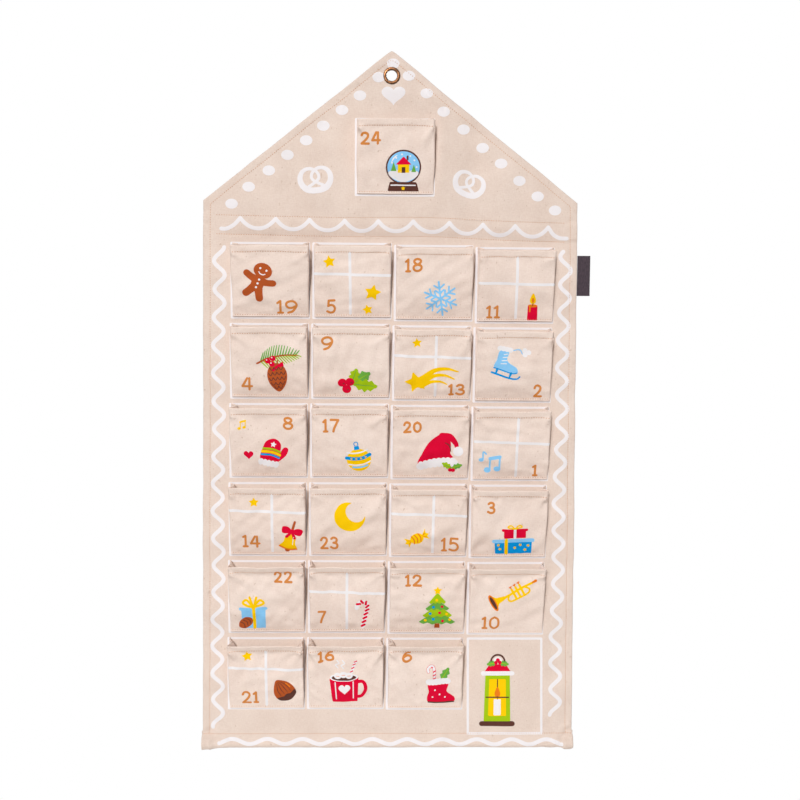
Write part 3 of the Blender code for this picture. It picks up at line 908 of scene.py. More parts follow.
def leaf(sketch: Sketch, length: float, wide: float, spikes: int, ink: Ink, vein: Ink, on: float = 0) -> None:
    """A toothed leaf along the drawing's u axis: a bow each side whose rim rises in teeth."""
    share = np.linspace(0.0, 1.0, 10 * spikes + 1)
    tooth = np.abs((share * spikes) % 1.0 - 0.5) * 2.0
    bow = wide / 2 * np.sin(math.pi * np.clip(share, 0.02, 0.98)) ** 0.7 * (0.66 + 0.44 * tooth)
    upper = np.column_stack((share * length, bow))
    lower = np.column_stack((share[::-1] * length, -bow[::-1]))[1:-1]
    sketch.fill(np.vstack((upper, lower)), ink, on, centre=(length * 0.5, 0.0))
    sketch.line([(length * 0.08, 0.0), (length * 0.86, 0.0)], [1.3, 0.5], vein, on + 1)


def gingerbread(s: Sketch) -> None:
    """Gingerbread man with white icing."""
    s.at(-15.0, 43.4, -24.0)
    body = [(-4, 8), (0, 10), (4, 8), (7.6, 2), (7.4, -6), (4, -11), (0, -9.5), (-4, -11), (-7.4, -6),
            (-7.6, 2)]
    for side in (-1, 1):
        s.line([(side * 4, 3.4), (side * 11, 4.4), (side * 17.2, 6.8)], [10, 8.2, 8.4], BROWN, 0.3)
        s.line([(side * 3.5, -7), (side * 6.2, -12), (side * 9, -17.2)], [10.4, 9.4, 9.4], BROWN, 0.6)
    s.shape(body, BROWN, 0.9)
    s.oval(0, 16.5, 11.4, 9.4, BROWN, 1.2)
    for side in (-1, 1):
        s.oval(side * 4, 18.4, 1.3, 1.4, WHITE, 2)
    s.line([(-4, 13.6), (-1.8, 11.9), (1.8, 11.9), (4, 13.6)], 1.2, WHITE, 2)
    for height in (4.6, -0.6, -5.8):
        s.oval(0, height, 1.4, 1.4, WHITE, 2)


def stars(s: Sketch) -> None:
    """Three stars in a window."""
    s.at().star(-28.5, 70.6, 15.0, 8, YELLOW, 1).star(25.1, 31.8, 20.5, -12, YELLOW, 1)
    s.star(18.9, 9.8, 12.8, 14, YELLOW, 1)


def snowflake(s: Sketch) -> None:
    """Six arms, each with two pairs of twigs."""
    s.at(7.9, 27.0, 8.0)
    for step in range(6):
        angle = step * TAU / 6 + TAU / 12
        way = np.array([math.cos(angle), math.sin(angle)])
        side = np.array([-way[1], way[0]])
        s.line([tuple(way * 1.0), tuple(way * 21.5)], 2.5, SKY, 0.3 + 0.2 * step)
        for start, reach in ((6.5, 5.2), (12.5, 6.2)):
            for hand in (-1, 1):
                tip = way * (start + reach * 0.8) + side * hand * reach
                s.line([tuple(way * start), tuple(tip)], 2.2, SKY, 1.6 + 0.1 * hand)


def candle(s: Sketch) -> None:
    """Red candle with a flame."""
    s.at(21.4, 0.0)
    s.block(6.4, 1.6, 6.0, 20.5, RED, 1)
    s.oval(0, 20.4, 6.0, 2.0, ORANGE, 2)
    s.line([(-3.4, 19.5), (-3.5, 13.0)], [2.4, 1.8], ORANGE, 2.5)
    s.line([(0, 20.5), (0.3, 24.5)], 0.9, DARK, 3)
    s.shape([(0, 37.0), (3.6, 29.5), (3.2, 24.6), (0, 22.6), (-3.2, 24.6), (-3.6, 29.5)], YELLOW, 2)
    s.shape([(0, 31.5), (1.7, 27.4), (0, 24.2), (-1.7, 27.4)], ORANGE, 3)


def fir_cone(s: Sketch) -> None:
    """A fir twig with a hanging cone and berries."""
    s.at(-15.0, 44.0, 14.0)
    twig = [(0, 0), (16, 3.5), (34, 3.0), (51, -1.0)]
    for at in np.linspace(0.1, 0.97, 15):
        u, v = 51 * at, 4.2 * math.sin(math.pi * min(at * 1.1, 1.0))
        reach = 13.0 * math.sin(math.pi * (0.22 + 0.7 * at))
        for hand in (-1, 1):
            tip = (u + 6.0, v + hand * reach)
            s.line([(u, v), tip], [1.9, 1.0], GREEN if hand > 0 else LIME, 0.2 + 0.05 * hand)
    s.line(twig, [2.4, 1.4], BROWN, 1.5)
    s.at(10.0, 26.0, 6.0)
    s.line([(3, 22), (1, 17)], 1.6, BROWN, 1.5)
    s.shape([(0, 19), (9, 14), (12.5, 3), (9, -10), (0, -19), (-9, -10), (-12.5, 3), (-9, 14)], BROWN, 2)
    for row, height in enumerate((12.0, 5.5, -1.0, -7.5, -13.0)):
        half = (8.5, 10.8, 10.6, 8.6, 5.0)[row]
        count = (3, 4, 4, 3, 2)[row]
        for k in range(count):
            u = (k + 0.5) * 2 * half / count - half
            reach = half / count
            scale = [(u - reach, height + 1.6), (u, height - 2.2), (u + reach, height + 1.6)]
            s.line(scale, 1.0, DARK, 3)
    s.at()
    for u, v in ((-2.0, 47.5), (4.6, 51.0), (3.4, 43.6)):
        s.oval(u, v, 3.7, 3.7, RED, 2.5)
        s.oval(u - 1.1, v + 1.2, 0.9, 0.9, WHITE, 3.5)
    s.shape([(9, 42), (17, 47), (18, 41), (10.5, 38.8)], RED, 2.5, soft=1)
    s.shape([(9, 42), (2.5, 36), (5, 33.6), (10.5, 38.8)], RED, 2.8, soft=1)


def holly(s: Sketch) -> None:
    """Two toothed leaves and three berries."""
    leaf(s.at(-1.0, 17.0, 34.0), 30.0, 17.0, 4, GREEN, LIME, 0.4)
    leaf(s.at(2.0, 17.5, -6.0), 31.0, 17.0, 4, LIME, GREEN, 2)
    leaf(s.at(1.0, 20.0, 72.0), 19.5, 13.0, 3, LIME, GREEN, 3)
    s.at()
    for u, v in ((-11.0, 19.5), (-5.5, 11.0), (-1.5, 20.5)):
        s.oval(u, v, 5.6, 5.4, RED, 4.5)
        s.oval(u + 1.8, v - 1.0, 0.9, 0.9, DARK, 5.5)


def comet(s: Sketch) -> None:
    """A star with a tail of three strokes, and a small star."""
    s.at()
    s.line([(-14, 27), (2, 38), (18, 40), (31.5, 36.5)], [7.6, 6.2, 4.2, 1.6], YELLOW, 1)
    s.line([(-13, 22), (1, 31), (15, 31.5), (27, 27)], [6.4, 5.2, 3.6, 1.5], YELLOW, 1.2)
    s.line([(-14, 17), (-2, 23.5), (9, 23.5), (18, 20)], [5.4, 4.2, 3.0, 1.4], YELLOW, 1.4)
    s.star(-20.5, 22.8, 27.0, 16, YELLOW, 2).star(-20.2, 73.4, 12.2, 6, YELLOW, 1)


def skate(s: Sketch) -> None:
    """An ice skate with a white cuff."""
    s.at(-8.5, 50.5, -17.0)
    boot = [(-14, 12), (-3, 14), (-2, 4), (3, 0), (13, -3), (16, -9), (9, -12), (-8, -12), (-15, -9),
            (-14, 0)]
    s.shape(boot, SKY, 0.4)
    s.line([(-15, -17.5), (8, -18.5), (18, -16.5), (20.5, -12.5)], [2.5, 2.5, 2.3, 1.8], BLUE, 0.2)
    for u in (-9.5, 8.5):
        s.line([(u, -11.5), (u, -17)], [3.2, 2.2], BLUE, 0.8)
    s.line([(-14.5, -10.8), (9, -11.4), (15, -8.8)], 1.4, BLUE, 2)
    for step in range(4):
        height = 9.5 - 4.0 * step
        s.line([(-7.5, height - 1.0), (-3.5 + 0.8 * step, height + 1.0)], 1.0, WHITE, 2.5)
    for u in (-15, -10.5, -6, -1.8):
        s.oval(u, 15.0 + 0.5 * (u + 15) / 6, 3.6, 3.2, WHITE, 2)
    s.line([(2, 17), (9, 20), (14, 16)], 1.3, SKY, 0.5)
    s.dots(((17.5, 16.0), (21.0, 20.0), (15.5, 21.0)), 3.2, 3.0, WHITE, 1)


def notes(s: Sketch, ink: Ink = SKY, lone: bool = True) -> None:
    """A pair of beamed notes, and a single one."""
    s.line([(-4.5, -8.0), (-4.5, 8.4)], 2.3, ink, 0.4).line([(7.5, -5.8), (7.5, 10.8)], 2.3, ink, 0.5)
    s.line([(-4.5, 7.6), (7.5, 10.0)], 4.4, ink, 0.6)
    s.oval(-7.4, -8.6, 4.3, 3.5, ink, 0.7).oval(4.6, -6.4, 4.3, 3.5, ink, 0.8)
    if lone:
        s.line([(-13.4, 6.0), (-13.4, 16.4), (-9.6, 13.6)], 2.0, ink, 0.5)
        s.oval(-15.6, 5.8, 3.2, 2.6, ink, 0.9)


def mitten(s: Sketch) -> None:
    """A red mitten with a white cuff and a coloured band, a heart and a note."""
    s.at(2.5, 29.5, -14.0)
    s.shape([(-10.5, -8), (-11.5, 6), (-9, 17), (0, 22), (9, 17), (11, 4), (10.5, -8)], RED, 1)
    s.line([(9.5, -2), (15, 5.5), (16.5, 10.5)], [9.5, 8.6, 7.4], RED, 0.6)
    s.line([(-11.4, 2.4), (0, 4.4), (11.2, 2.4)], 3.4, YELLOW, 2)
    s.line([(-11.2, -1.6), (0, 0.4), (11.2, -1.6)], 2.6, BLUE, 2.2)
    s.line([(-10.8, 6.4), (0, 8.4), (10.6, 6.4)], 2.6, LIME, 2.4)
    for k in range(5):
        s.oval(-9.6 + 4.8 * k, -11.5, 3.3, 4.6, WHITE, 2.6)
    s.line([(-10.5, -11.5), (10.5, -11.5)], 5.6, WHITE, 2.8)
    s.star(0.4, 14.6, 7.4, 0, WHITE, 2.5)
    s.at().heart(-25.0, 28.5, 12.4, 12.0, RED, 0)
    notes(s.at(-31.5, 69.0, 0.0, 0.5), YELLOW, False)


def bauble(s: Sketch) -> None:
    """A glass ball with bands and its cap."""
    s.at(11.5, 22.8, 10.0)
    s.oval(0, 0, 15.2, 15.2, YELLOW, 0.4)
    s.line(arc(0, 38.0, 36.0, 246, 294), 4.6, BLUE, 2)
    s.line(arc(0, 27.0, 34.0, 246, 294), 1.8, WHITE, 2.2)
    s.line(arc(0, 48.0, 38.0, 249.5, 290.5), 1.8, WHITE, 2.2)
    s.line(arc(0, 24.0, 34.0, 254, 286), 2.4, SKY, 2.1)
    for u in (-9, -3, 3, 9):
        s.oval(u, 2.0 + 0.012 * u * u, 1.2, 1.2, YELLOW, 3)
    s.block(3.4, 14.2, 3.0, 19.2, BLUE, 1.5)
    s.line(arc(0, 22.2, 2.6, -60, 240), 1.1, BLUE, 0.6)


def santa_hat(s: Sketch) -> None:
    """A red hat that bends over, with a white brim and a white ball."""
    s.at(8.0, 20.0, 7.0)
    s.shape([(-22, 0), (-17, 16), (-6, 30), (8, 38), (18, 34), (20, 24), (18, 12), (20, 0)], RED, 0.4)
    s.line([(10, 36), (20, 33), (26, 24), (27, 17)], [8.0, 9.0, 6.5, 4.5], RED, 1.0)
    s.line([(13, 27), (18, 22), (19, 14)], [0.8, 1.5, 0.8], DARK, 2)
    s.line([(-21.5, -1.5), (-8, 1.5), (8, 1.5), (21.5, -1.5)], 9.5, WHITE, 2.5)
    for u in np.linspace(-20, 20, 8):
        s.oval(u, -1.0 + 2.4 * math.cos(u / 14), 4.4, 6.2, WHITE, 2.8)
    s.oval(28.0, 13.0, 6.4, 6.2, WHITE, 3)
    for turn, ink in ((18.0, GREEN), (150.0, LIME)):
        leaf(s.at(26.5, 14.0, turn), 14.0, 8.0, 3, ink, LIME if ink is GREEN else GREEN, 4)
    s.at()
    s.dots(((24.8, 11.4), (28.6, 10.8)), 2.7, 2.7, RED, 5.5)


def bell(s: Sketch) -> None:
    """A hand bell with a red bow, and a star."""
    s.at(27.5, 20.0, -14.0)
    s.oval(0, -13.8, 3.2, 3.0, BROWN, 0.5)
    s.shape([(-11, -10), (-7.6, -3), (-6.4, 6), (0, 11), (6.4, 6), (7.6, -3), (11, -10), (0, -12.6)],
            YELLOW, 1)
    s.line([(-11, -10.4), (0, -12.8), (11, -10.4)], 2.2, ORANGE, 2)
    s.line([(3.6, 5.0), (4.6, -5.0)], [1.4, 0.7], WHITE, 2)
    s.line([(0, 12), (0.5, 26)], [3.6, 3.0], BROWN, 0.6)
    for side in (-1, 1):
        s.shape([(0, 12.4), (side * 6, 17.8), (side * 13, 17.0), (side * 12, 9.6), (side * 6, 9.0)], RED, 2.5)
        s.line([(side * 1, 11), (side * 5, 4.6)], [3.4, 4.0], RED, 2.2)
    s.oval(0, 12.6, 3.3, 3.1, RED, 3.5)
    s.at().star(-16.4, 71.0, 12.2, 0, YELLOW, 1)


def moon(s: Sketch) -> None:
    """A crescent: a stroke along an arc, thick in its middle and thin at its tips."""
    s.at(5.5, 55.5)
    widths = [0.8, 5.5, 10.5, 14.5, 16.5, 16.8, 15.5, 12.0, 7.5, 3.5, 0.8]
    s.line(arc(0, 0, 15.6, 98, 352), widths, YELLOW, 0.4)


def candy(s: Sketch) -> None:
    """A wrapped sweet."""
    s.at(-15.0, 24.4, 28.0)
    for side in (-1, 1):
        fan = [(side * 6, 0), (side * 15, 7.5), (side * 13.4, 2.4), (side * 17, 0), (side * 13.4, -2.4),
               (side * 15, -7.5)]
        s.shape(fan, YELLOW, 1, soft=1)
        s.line([(side * 7.5, 0), (side * 12, 2.6)], 0.9, ORANGE, 2)
        s.line([(side * 7.5, 0), (side * 12, -2.6)], 0.9, ORANGE, 2)
    s.oval(0, 0, 8.8, 7.0, YELLOW, 2)
    for u in (-4.6, 0.0, 4.6):
        s.line([(u - 1.4, -5.0), (u + 0.6, 0.0), (u - 0.4, 5.4)], 1.5, ORANGE, 3)


def parcels(s: Sketch) -> None:
    """Two stacked presents."""
    s.at(6.5, 3.5, 2.0)
    s.block(23, 1, 24, 20, BLUE, 0.4)
    s.line([(-24.6, 19.4), (24.6, 19.4)], 5.0, SKY, 2)
    s.line([(-9, 1.8), (-9, 20.5)], 4.4, YELLOW, 2.6)
    for u, v in ((2, 9), (9, 13), (15, 6), (19, 12), (-17, 8), (-19, 14)):
        s.star(u, v, 4.6, 11 * u, YELLOW, 2.2)
    s.shape([(-12, 23), (16, 23), (16, 35), (-12, 35)], RED, 1, soft=1)
    s.line([(-13, 34.4), (17, 34.4)], 3.4, RED, 2)
    s.line([(2, 23.5), (2, 35)], 3.4, WHITE, 3)
    for side in (-1, 1):
        s.line([(2, 36.5), (2 + side * 5, 41), (2 + side * 9, 38.6), (2, 36.5)], 1.8, YELLOW, 3.5)


def present(s: Sketch) -> None:
    """A pale present with a yellow ribbon, and a fir cone beside it."""
    s.at(-17.0, 4.5, 1.5)
    s.shape([(-15, 0.8), (15, 0.8), (16, 30), (-15, 30)], SKY, 0.4, soft=1)
    s.line([(-15.6, 29), (16.2, 29)], 4.4, SKY, 1.2)
    s.line([(1.0, 1.5), (1.0, 30)], 4.2, YELLOW, 2)
    for side in (-1, 1):
        s.line([(1, 31), (1 + side * 8, 41), (1 + side * 13, 36.5), (1, 31)], 3.0, YELLOW, 2.5)
        s.line([(1, 31.5), (1 + side * 4.2, 44.5)], [2.0, 3.2], YELLOW, 2.2)
    s.oval(1, 31.6, 3.0, 2.6, YELLOW, 3)
    s.at(-27.5, 13.0, 38.0)
    s.shape([(-10, 0), (-5, 6), (5, 6.5), (10.5, 0), (5, -6.5), (-5, -6)], BROWN, 3)
    for u in (-5, -0.5, 4):
        s.line([(u, 5.0), (u + 2.2, 0), (u, -5.0)], 0.9, DARK, 4)


def cane(s: Sketch) -> None:
    """A striped sugar cane: a white stroke with slanting red strokes across it."""
    s.at(21.0, 26.5, -13.0)
    path = [(3.2, -18.5), (3.2, -2), (3.0, 8), (-0.6, 15.0), (-7.4, 15.4), (-10.6, 9.2), (-10.4, 6.0)]
    s.line(path, 5.4, WHITE, 0.4)
    line = spline(path, 0.5)
    tangent = np.gradient(line, axis=0)
    for k in range(3, len(line) - 3, 11):
        way = tangent[k] / np.linalg.norm(tangent[k])
        side = np.array([-way[1], way[0]])
        start, end = line[k] + 1.5 * side - 1.3 * way, line[k] - 1.5 * side + 1.3 * way
        s.line([tuple(start), tuple(end)], 3.0, RED, 2)


def tree(s: Sketch) -> None:
    """A fir of four scalloped tiers with balls and a star."""
    s.at(13.0, 6.0)
    s.block(3.5, 0.6, 3.0, 8, BROWN, 0.2)
    tiers = ((6.0, 23.5, 22.0, GREEN), (16.0, 19.5, 19.0, LIME), (26.0, 15.5, 16.0, GREEN),
             (35.5, 11.0, 15.0, LIME))
    for level, (foot, half, rise, ink) in enumerate(tiers):
        count = 4
        points = [(0.0, foot + rise)]
        for k in range(count * 2 + 1):
            u = half - k * half / count
            points.append((u, foot + (0.0 if k % 2 else 3.0)))
        outline = soften(straight(points, 1.2, True), 3)
        s.fill(outline, ink, 0.5 + 1.1 * level, centre=(0.0, foot + 0.4 * rise))
    for k, (u, v) in enumerate(((-15, 12), (-5, 14), (7, 11), (16, 13), (-9, 22), (3, 23), (12, 21), (-5, 31),
                                (6, 32), (-1, 41))):
        s.oval(u, v, 1.9, 1.9, (YELLOW, BLUE, RED)[k % 3], 5)
    s.star(0, 53.0, 10.5, 0, YELLOW, 5.5)


def trumpet(s: Sketch) -> None:
    """A trumpet with its bell to the lower left."""
    s.at(8.5, 58.5, 30.0)
    s.line([(-14, 0), (26, 0.5)], [3.4, 2.6], YELLOW, 1)
    s.line([(26, 0.5), (30.5, 0.5)], [2.4, 3.8], ORANGE, 1.5)
    s.shape([(-30, 11.5), (-24, 4.2), (-13, 2.0), (-13, -2.0), (-24, -4.2), (-30, -11.5)],
            YELLOW, 1.2, soft=2)
    s.oval(-30.0, 0, 3.8, 12.0, ORANGE, 2.2).oval(-30.0, 0, 2.2, 9.4, DARK, 3.2)
    s.line([(-8, -0.5), (-11, -5), (-7, -9.2), (14, -9.2), (18.5, -5), (15, -0.5)], 2.3, YELLOW, 1.4)
    for u in (-1.5, 4.0, 9.5):
        s.line([(u, -9.6), (u, 5.0)], 3.0, YELLOW, 1.8).line([(u, 5.0), (u, 8.2)], 1.3, ORANGE, 1.6)
        s.line([(u - 1.2, 8.6), (u + 1.2, 8.6)], 1.6, ORANGE, 2.0)


def hazelnut(s: Sketch) -> None:
    """A brown nut with a darker cap, and a star."""
    s.at(23.0, 26.0, 30.0)
    s.shape([(0, 19), (8, 12), (13.6, 1), (11, -10), (0, -15), (-11, -10), (-13.6, 1), (-8, 12)], BROWN, 0.4)
    s.shape([(-12.6, -4), (-6, -7.2), (0, -5.6), (6, -7.2), (12.6, -4), (10.6, -11), (0, -15.4),
             (-10.6, -11)], DARK, 2)
    for u in (-6.5, -2.2, 2.2, 6.5):
        s.line([(u * 0.35, 15), (u, 5), (u * 1.1, -4)], [0.5, 0.9, 0.5], DARK, 1.5)
    s.line([(7.0, 8.5), (9.6, 2.0)], 1.3, ORANGE, 2)
    s.at().star(-23.0, 74.2, 13.0, 6, YELLOW, 1)


def cocoa(s: Sketch) -> None:
    """A red mug of cocoa with sweets on top and a heart on its side."""
    s.at(-1.0, 8.5, 2.0)
    s.line([(14, 30), (24, 30), (27, 20), (22, 10), (14, 9)], 4.6, RED, 0.4)
    s.block(16, 1, 18.5, 37, RED, 0.8, soft=2)
    s.oval(0, 37, 18.0, 5.4, WHITE, 2).oval(0, 36.8, 15.6, 4.0, DARK, 3)
    for u, v in ((-8.0, 39.5), (-0.5, 41.0), (6.5, 39.6)):
        s.oval(u, v, 4.7, 4.1, WHITE, 4)
        s.line([(u - 2.0, v - 0.4), (u + 2.0, v - 0.4)], 0.6, ORANGE, 5)
    s.line([(8, 40), (15.5, 58)], 3.4, WHITE, 3.5)
    for share in (0.25, 0.5, 0.75, 0.98):
        u, v = 8 + 7.5 * share, 40 + 18 * share
        s.line([(u - 1.4, v), (u + 1.4, v + 1.4)], 1.5, RED, 4.5)
    s.heart(0.0, 19.5, 15.0, 14.0, WHITE, 2)
    for u in (-11.5, 11.5):
        s.line([(u, 31), (u * 0.94, 6)], 1.4, WHITE, 2)
    s.line([(-7, 50), (-10, 54), (-5.5, 57), (-8, 61)], 1.5, WHITE, 0.5)
    s.line([(0, 50), (-3, 54), (1.5, 57), (-1, 61)], 1.5, WHITE, 0.5)


def boot(s: Sketch) -> None:
    """A red boot trimmed with fur, with a sugar cane and a sprig in it."""
    s.at(17.5, 26.0)
    cane_path = [(-6, 10), (-6.5, 30), (-9.5, 36.5), (-14.5, 33.0), (-14.0, 29.0)]
    s.line(cane_path, 3.8, RED, 0.2).line(cane_path, 3.0, WHITE, 0.8)
    for v in (19.2, 24.0, 28.8):
        s.line([(-7.5, v), (-5.1, v + 1.2)], 1.6, RED, 1.6)
    s.oval(-9.5, 34.5, 1.1, 1.1, RED, 1.6)
    leaf(s.at(20.0, 42.0, 62.0), 20.0, 11.0, 3, GREEN, LIME, 0.5)
    s.at(17.5, 26.0)
    s.shape([(-13, 13), (11, 13), (10, 0), (15, -5), (20, -9), (19.5, -15), (10, -16), (-12, -16), (-15, -10),
             (-13, 0)], RED, 2)
    s.line([(-13, -16.0), (-4, -16.8), (19, -15.8)], 2.2, DARK, 3)
    for u in np.linspace(-12.5, 10.5, 6):
        s.oval(u, 14.5, 4.6, 4.4, WHITE, 3.2)
    s.dots(((-5, 3), (1, -4), (8, -9), (-8, -8)), 1.2, 1.2, WHITE, 3)


def snow_globe(s: Sketch) -> None:
    """A glass globe with a little house in the snow, on a dark foot."""
    s.at(9.5, 30.5)
    s.oval(0, 2.5, 21.5, 21.0, DARK, 0.2).oval(0, 2.5, 19.6, 19.1, SKY, 1.2)
    snow = [(-18.4, -3.5), (-9, -0.5), (2, -4.0), (10, -1.0), (18.4, -3.5), (14, -10.5), (0, -15.8),
            (-14, -10.5)]
    s.shape(snow, WHITE, 2.2)
    s.block(7, -4, 7, 7, YELLOW, 3, soft=0)
    s.shape([(-9.5, 6), (9.5, 6), (0, 15.5)], RED, 4, soft=1)
    s.block(2.2, -4, 2.2, 3, DARK, 4, soft=0)
    s.line([(4.8, 12.0), (4.8, 15.5)], 2.4, DARK, 3.6)
    s.shape([(-15.5, -2), (-8.5, -2), (-12, 9)], GREEN, 3.5, soft=1)
    s.shape([(9.5, -3), (15.5, -3), (12.5, 6)], GREEN, 3.5, soft=1)
    s.dots(((-9, 14), (-2, 18), (8, 16), (-14, 8), (13, 11), (16, 3)), 1.1, 1.1, WHITE, 5)
    s.line([(-14.5, 9.0), (-11.5, 14.0), (-8.0, 16.8)], [0.8, 1.6, 0.8], WHITE, 5)
    s.block(19.5, -27, 16.5, -15.5, DARK, 3, soft=2)
    s.line([(-15.0, -19.5), (15.0, -19.5)], 1.5, WHITE, 4)
    s.star(0, -23.4, 5.6, 0, YELLOW, 4.5)


PICTURES: dict[int, Callable[[Sketch], None]] = {
    19: gingerbread, 5: stars, 18: snowflake, 11: candle, 4: fir_cone, 9: holly, 13: comet, 2: skate,
    8: mitten, 17: bauble, 20: santa_hat, 1: lambda s: notes(s.at(-22.0, 21.0)), 14: bell, 23: moon,
    15: candy, 3: parcels, 22: present, 7: cane, 12: tree, 10: trumpet, 21: hazelnut, 16: cocoa, 6: boot,
    24: snow_globe,
}


@dataclass(frozen=True)
class Cloth:
    """Thicknesses of the canvas and its hems, the same as in the solids."""

    thickness: float = 0.8 * MM
    hem: float = 2.4 * MM
    gap: float = 0.3 * MM


CLOTH = Cloth()


def slab(outer: Array, inner: Array) -> tuple[Array, Array]:
    """Close two like grids of points into one body."""
    rows, columns = outer.shape[:2]
    faces = grid_faces(rows, columns)
    edge = grid_edge(rows, columns)
    return closed_skin(outer.reshape(-1, 3), inner.reshape(-1, 3), faces, edge)


def tube(rings: Array) -> tuple[Array, Array]:
    """Join rings of points side by side into a tube and close its two ends with fans."""
    rows, columns = rings.shape[:2]
    faces = grid_faces(rows, columns, ring=True)
    points = np.vstack((rings.reshape(-1, 3), rings[0].mean(axis=0), rings[-1].mean(axis=0)))
    here = np.arange(columns)
    ahead = np.roll(here, -1)
    first, last = rows * columns, rows * columns + 1
    none = np.full(columns, -1)
    near = np.stack((ahead, here, np.full(columns, first), none), axis=1)
    shift = (rows - 1) * columns
    far = np.stack((here + shift, ahead + shift, np.full(columns, last), none), axis=1)
    return points, np.vstack((faces, near, far))


def spun(profile: Array, sides: int) -> tuple[Array, Array]:
    """Turn a closed profile of radius and depth about the y axis: a ring in two parameters."""
    angle = np.linspace(0.0, TAU, sides, endpoint=False)[:, None]
    radius, depth = profile[None, :, 0], profile[None, :, 1]
    places = (radius * np.cos(angle), depth + 0 * angle, radius * np.sin(angle))
    points = np.stack(places, axis=-1)
    index = np.arange(sides * len(profile)).reshape(sides, len(profile))
    corners = (index, np.roll(index, -1, 1), np.roll(np.roll(index, -1, 1), -1, 0), np.roll(index, -1, 0))
    return points.reshape(-1, 3), np.stack([c.ravel() for c in corners], axis=1)


def stitches(surface: Surface, starts: Array, ends: Array, radius: float) -> tuple[Array, Array]:
    """Short threads lying half sunk in a cloth, one from each start to its end.

    Each thread is a capsule of five sides: its radius swells and falls along its
    length, and its middle stands a little above the cloth.

    Args:
        surface: The cloth that carries them.
        starts: Flat places where the threads come out, in metres.
        ends: Flat places where they go in.
        radius: Half the thread's thickness.

    Returns:
        Points and faces of all the threads.
    """
    shares = np.array([0.0, 0.12, 0.5, 0.88, 1.0])
    swell = np.array([0.12, 0.8, 1.0, 0.8, 0.12])
    lift = np.array([-0.5, 0.25, 0.75, 0.25, -0.5]) * radius
    flat = starts[:, None] + (ends - starts)[:, None] * shares[None, :, None]
    lifts = np.broadcast_to(lift, flat.shape[:2])
    line = surface(flat[..., 0], flat[..., 1], lifts)
    raised = surface(flat[..., 0], flat[..., 1], lifts + radius)
    normal = (raised - line) / np.linalg.norm(raised - line, axis=-1, keepdims=True)
    along = line[:, -1:] - line[:, :1]
    side = np.cross(normal, along)
    side /= np.linalg.norm(side, axis=-1, keepdims=True)
    turn = np.linspace(0.0, TAU, 5, endpoint=False)[:, None]
    round_side = side[:, :, None] * np.cos(turn) + normal[:, :, None] * np.sin(turn)
    points = line[:, :, None] + round_side * (radius * swell)[:, None, None]
    count, rings, sides = points.shape[:3]
    one = grid_faces(rings, sides, ring=True)
    cap = np.array([[0, 4, 3, 2], [0, 2, 1, -1], [20, 21, 22, 23], [20, 23, 24, -1]])
    unit = np.vstack((one, cap))
    shifts = (np.arange(count) * rings * sides)[:, None, None]
    faces = np.where(unit[None] < 0, -1, unit[None] + shifts)
    return points.reshape(-1, 3), faces.reshape(-1, 4)


def seam(path: Array, pitch: float, share: float) -> tuple[Array, Array]:
    """Starts and ends of stitches at even steps along a path; each fills a share of its step."""
    run = run_along(path)
    count = int(run[-1] / pitch)
    first = (np.arange(count) + 0.5 - share / 2) * run[-1] / count
    last = first + share * run[-1] / count
    ends = [np.column_stack([np.interp(s, run, path[:, k]) for k in range(2)]) for s in (first, last)]
    return ends[0], ends[1]


@dataclass(frozen=True)
class Sewing:
    """How a seam is sewn: step from stitch to stitch, share of it on show, and the thread's radius."""

    pitch: float = 3.0 * MM
    share: float = 0.5
    radius: float = 0.42 * MM


SEWING = Sewing()


def sew(stack: MeshStack, surface: Surface, path: list[tuple[float, float]] | Array) -> None:
    """Sew a row of stitches along a path on a cloth, and keep them in a stack."""
    starts, ends = seam(np.asarray(path, dtype=float), SEWING.pitch, SEWING.share)
    stack.add(*stitches(surface, starts, ends, SEWING.radius), THREAD)


@dataclass(frozen=True)
class PanelFolds:
    """How far each kind of fold lifts the panel off the flat."""

    broad: float = 1.5 * MM
    small: float = 0.75 * MM
    upright: float = 1.2 * MM
    gable_pair: float = 3.6 * MM
    border: float = 1.2 * MM
    gutter: float = 3.0 * MM
    rays: float = 1.1 * MM
    side_pucker: float = 0.55 * MM
    gable_pucker: float = 0.5 * MM
    sleeve_pucker: float = 0.3 * MM
    foot_pucker: float = 0.5 * MM
    crumple: float = 2.2 * MM
    groove: float = 0.28 * MM
    bulge: float = 0.7 * MM


FOLDS = PanelFolds()


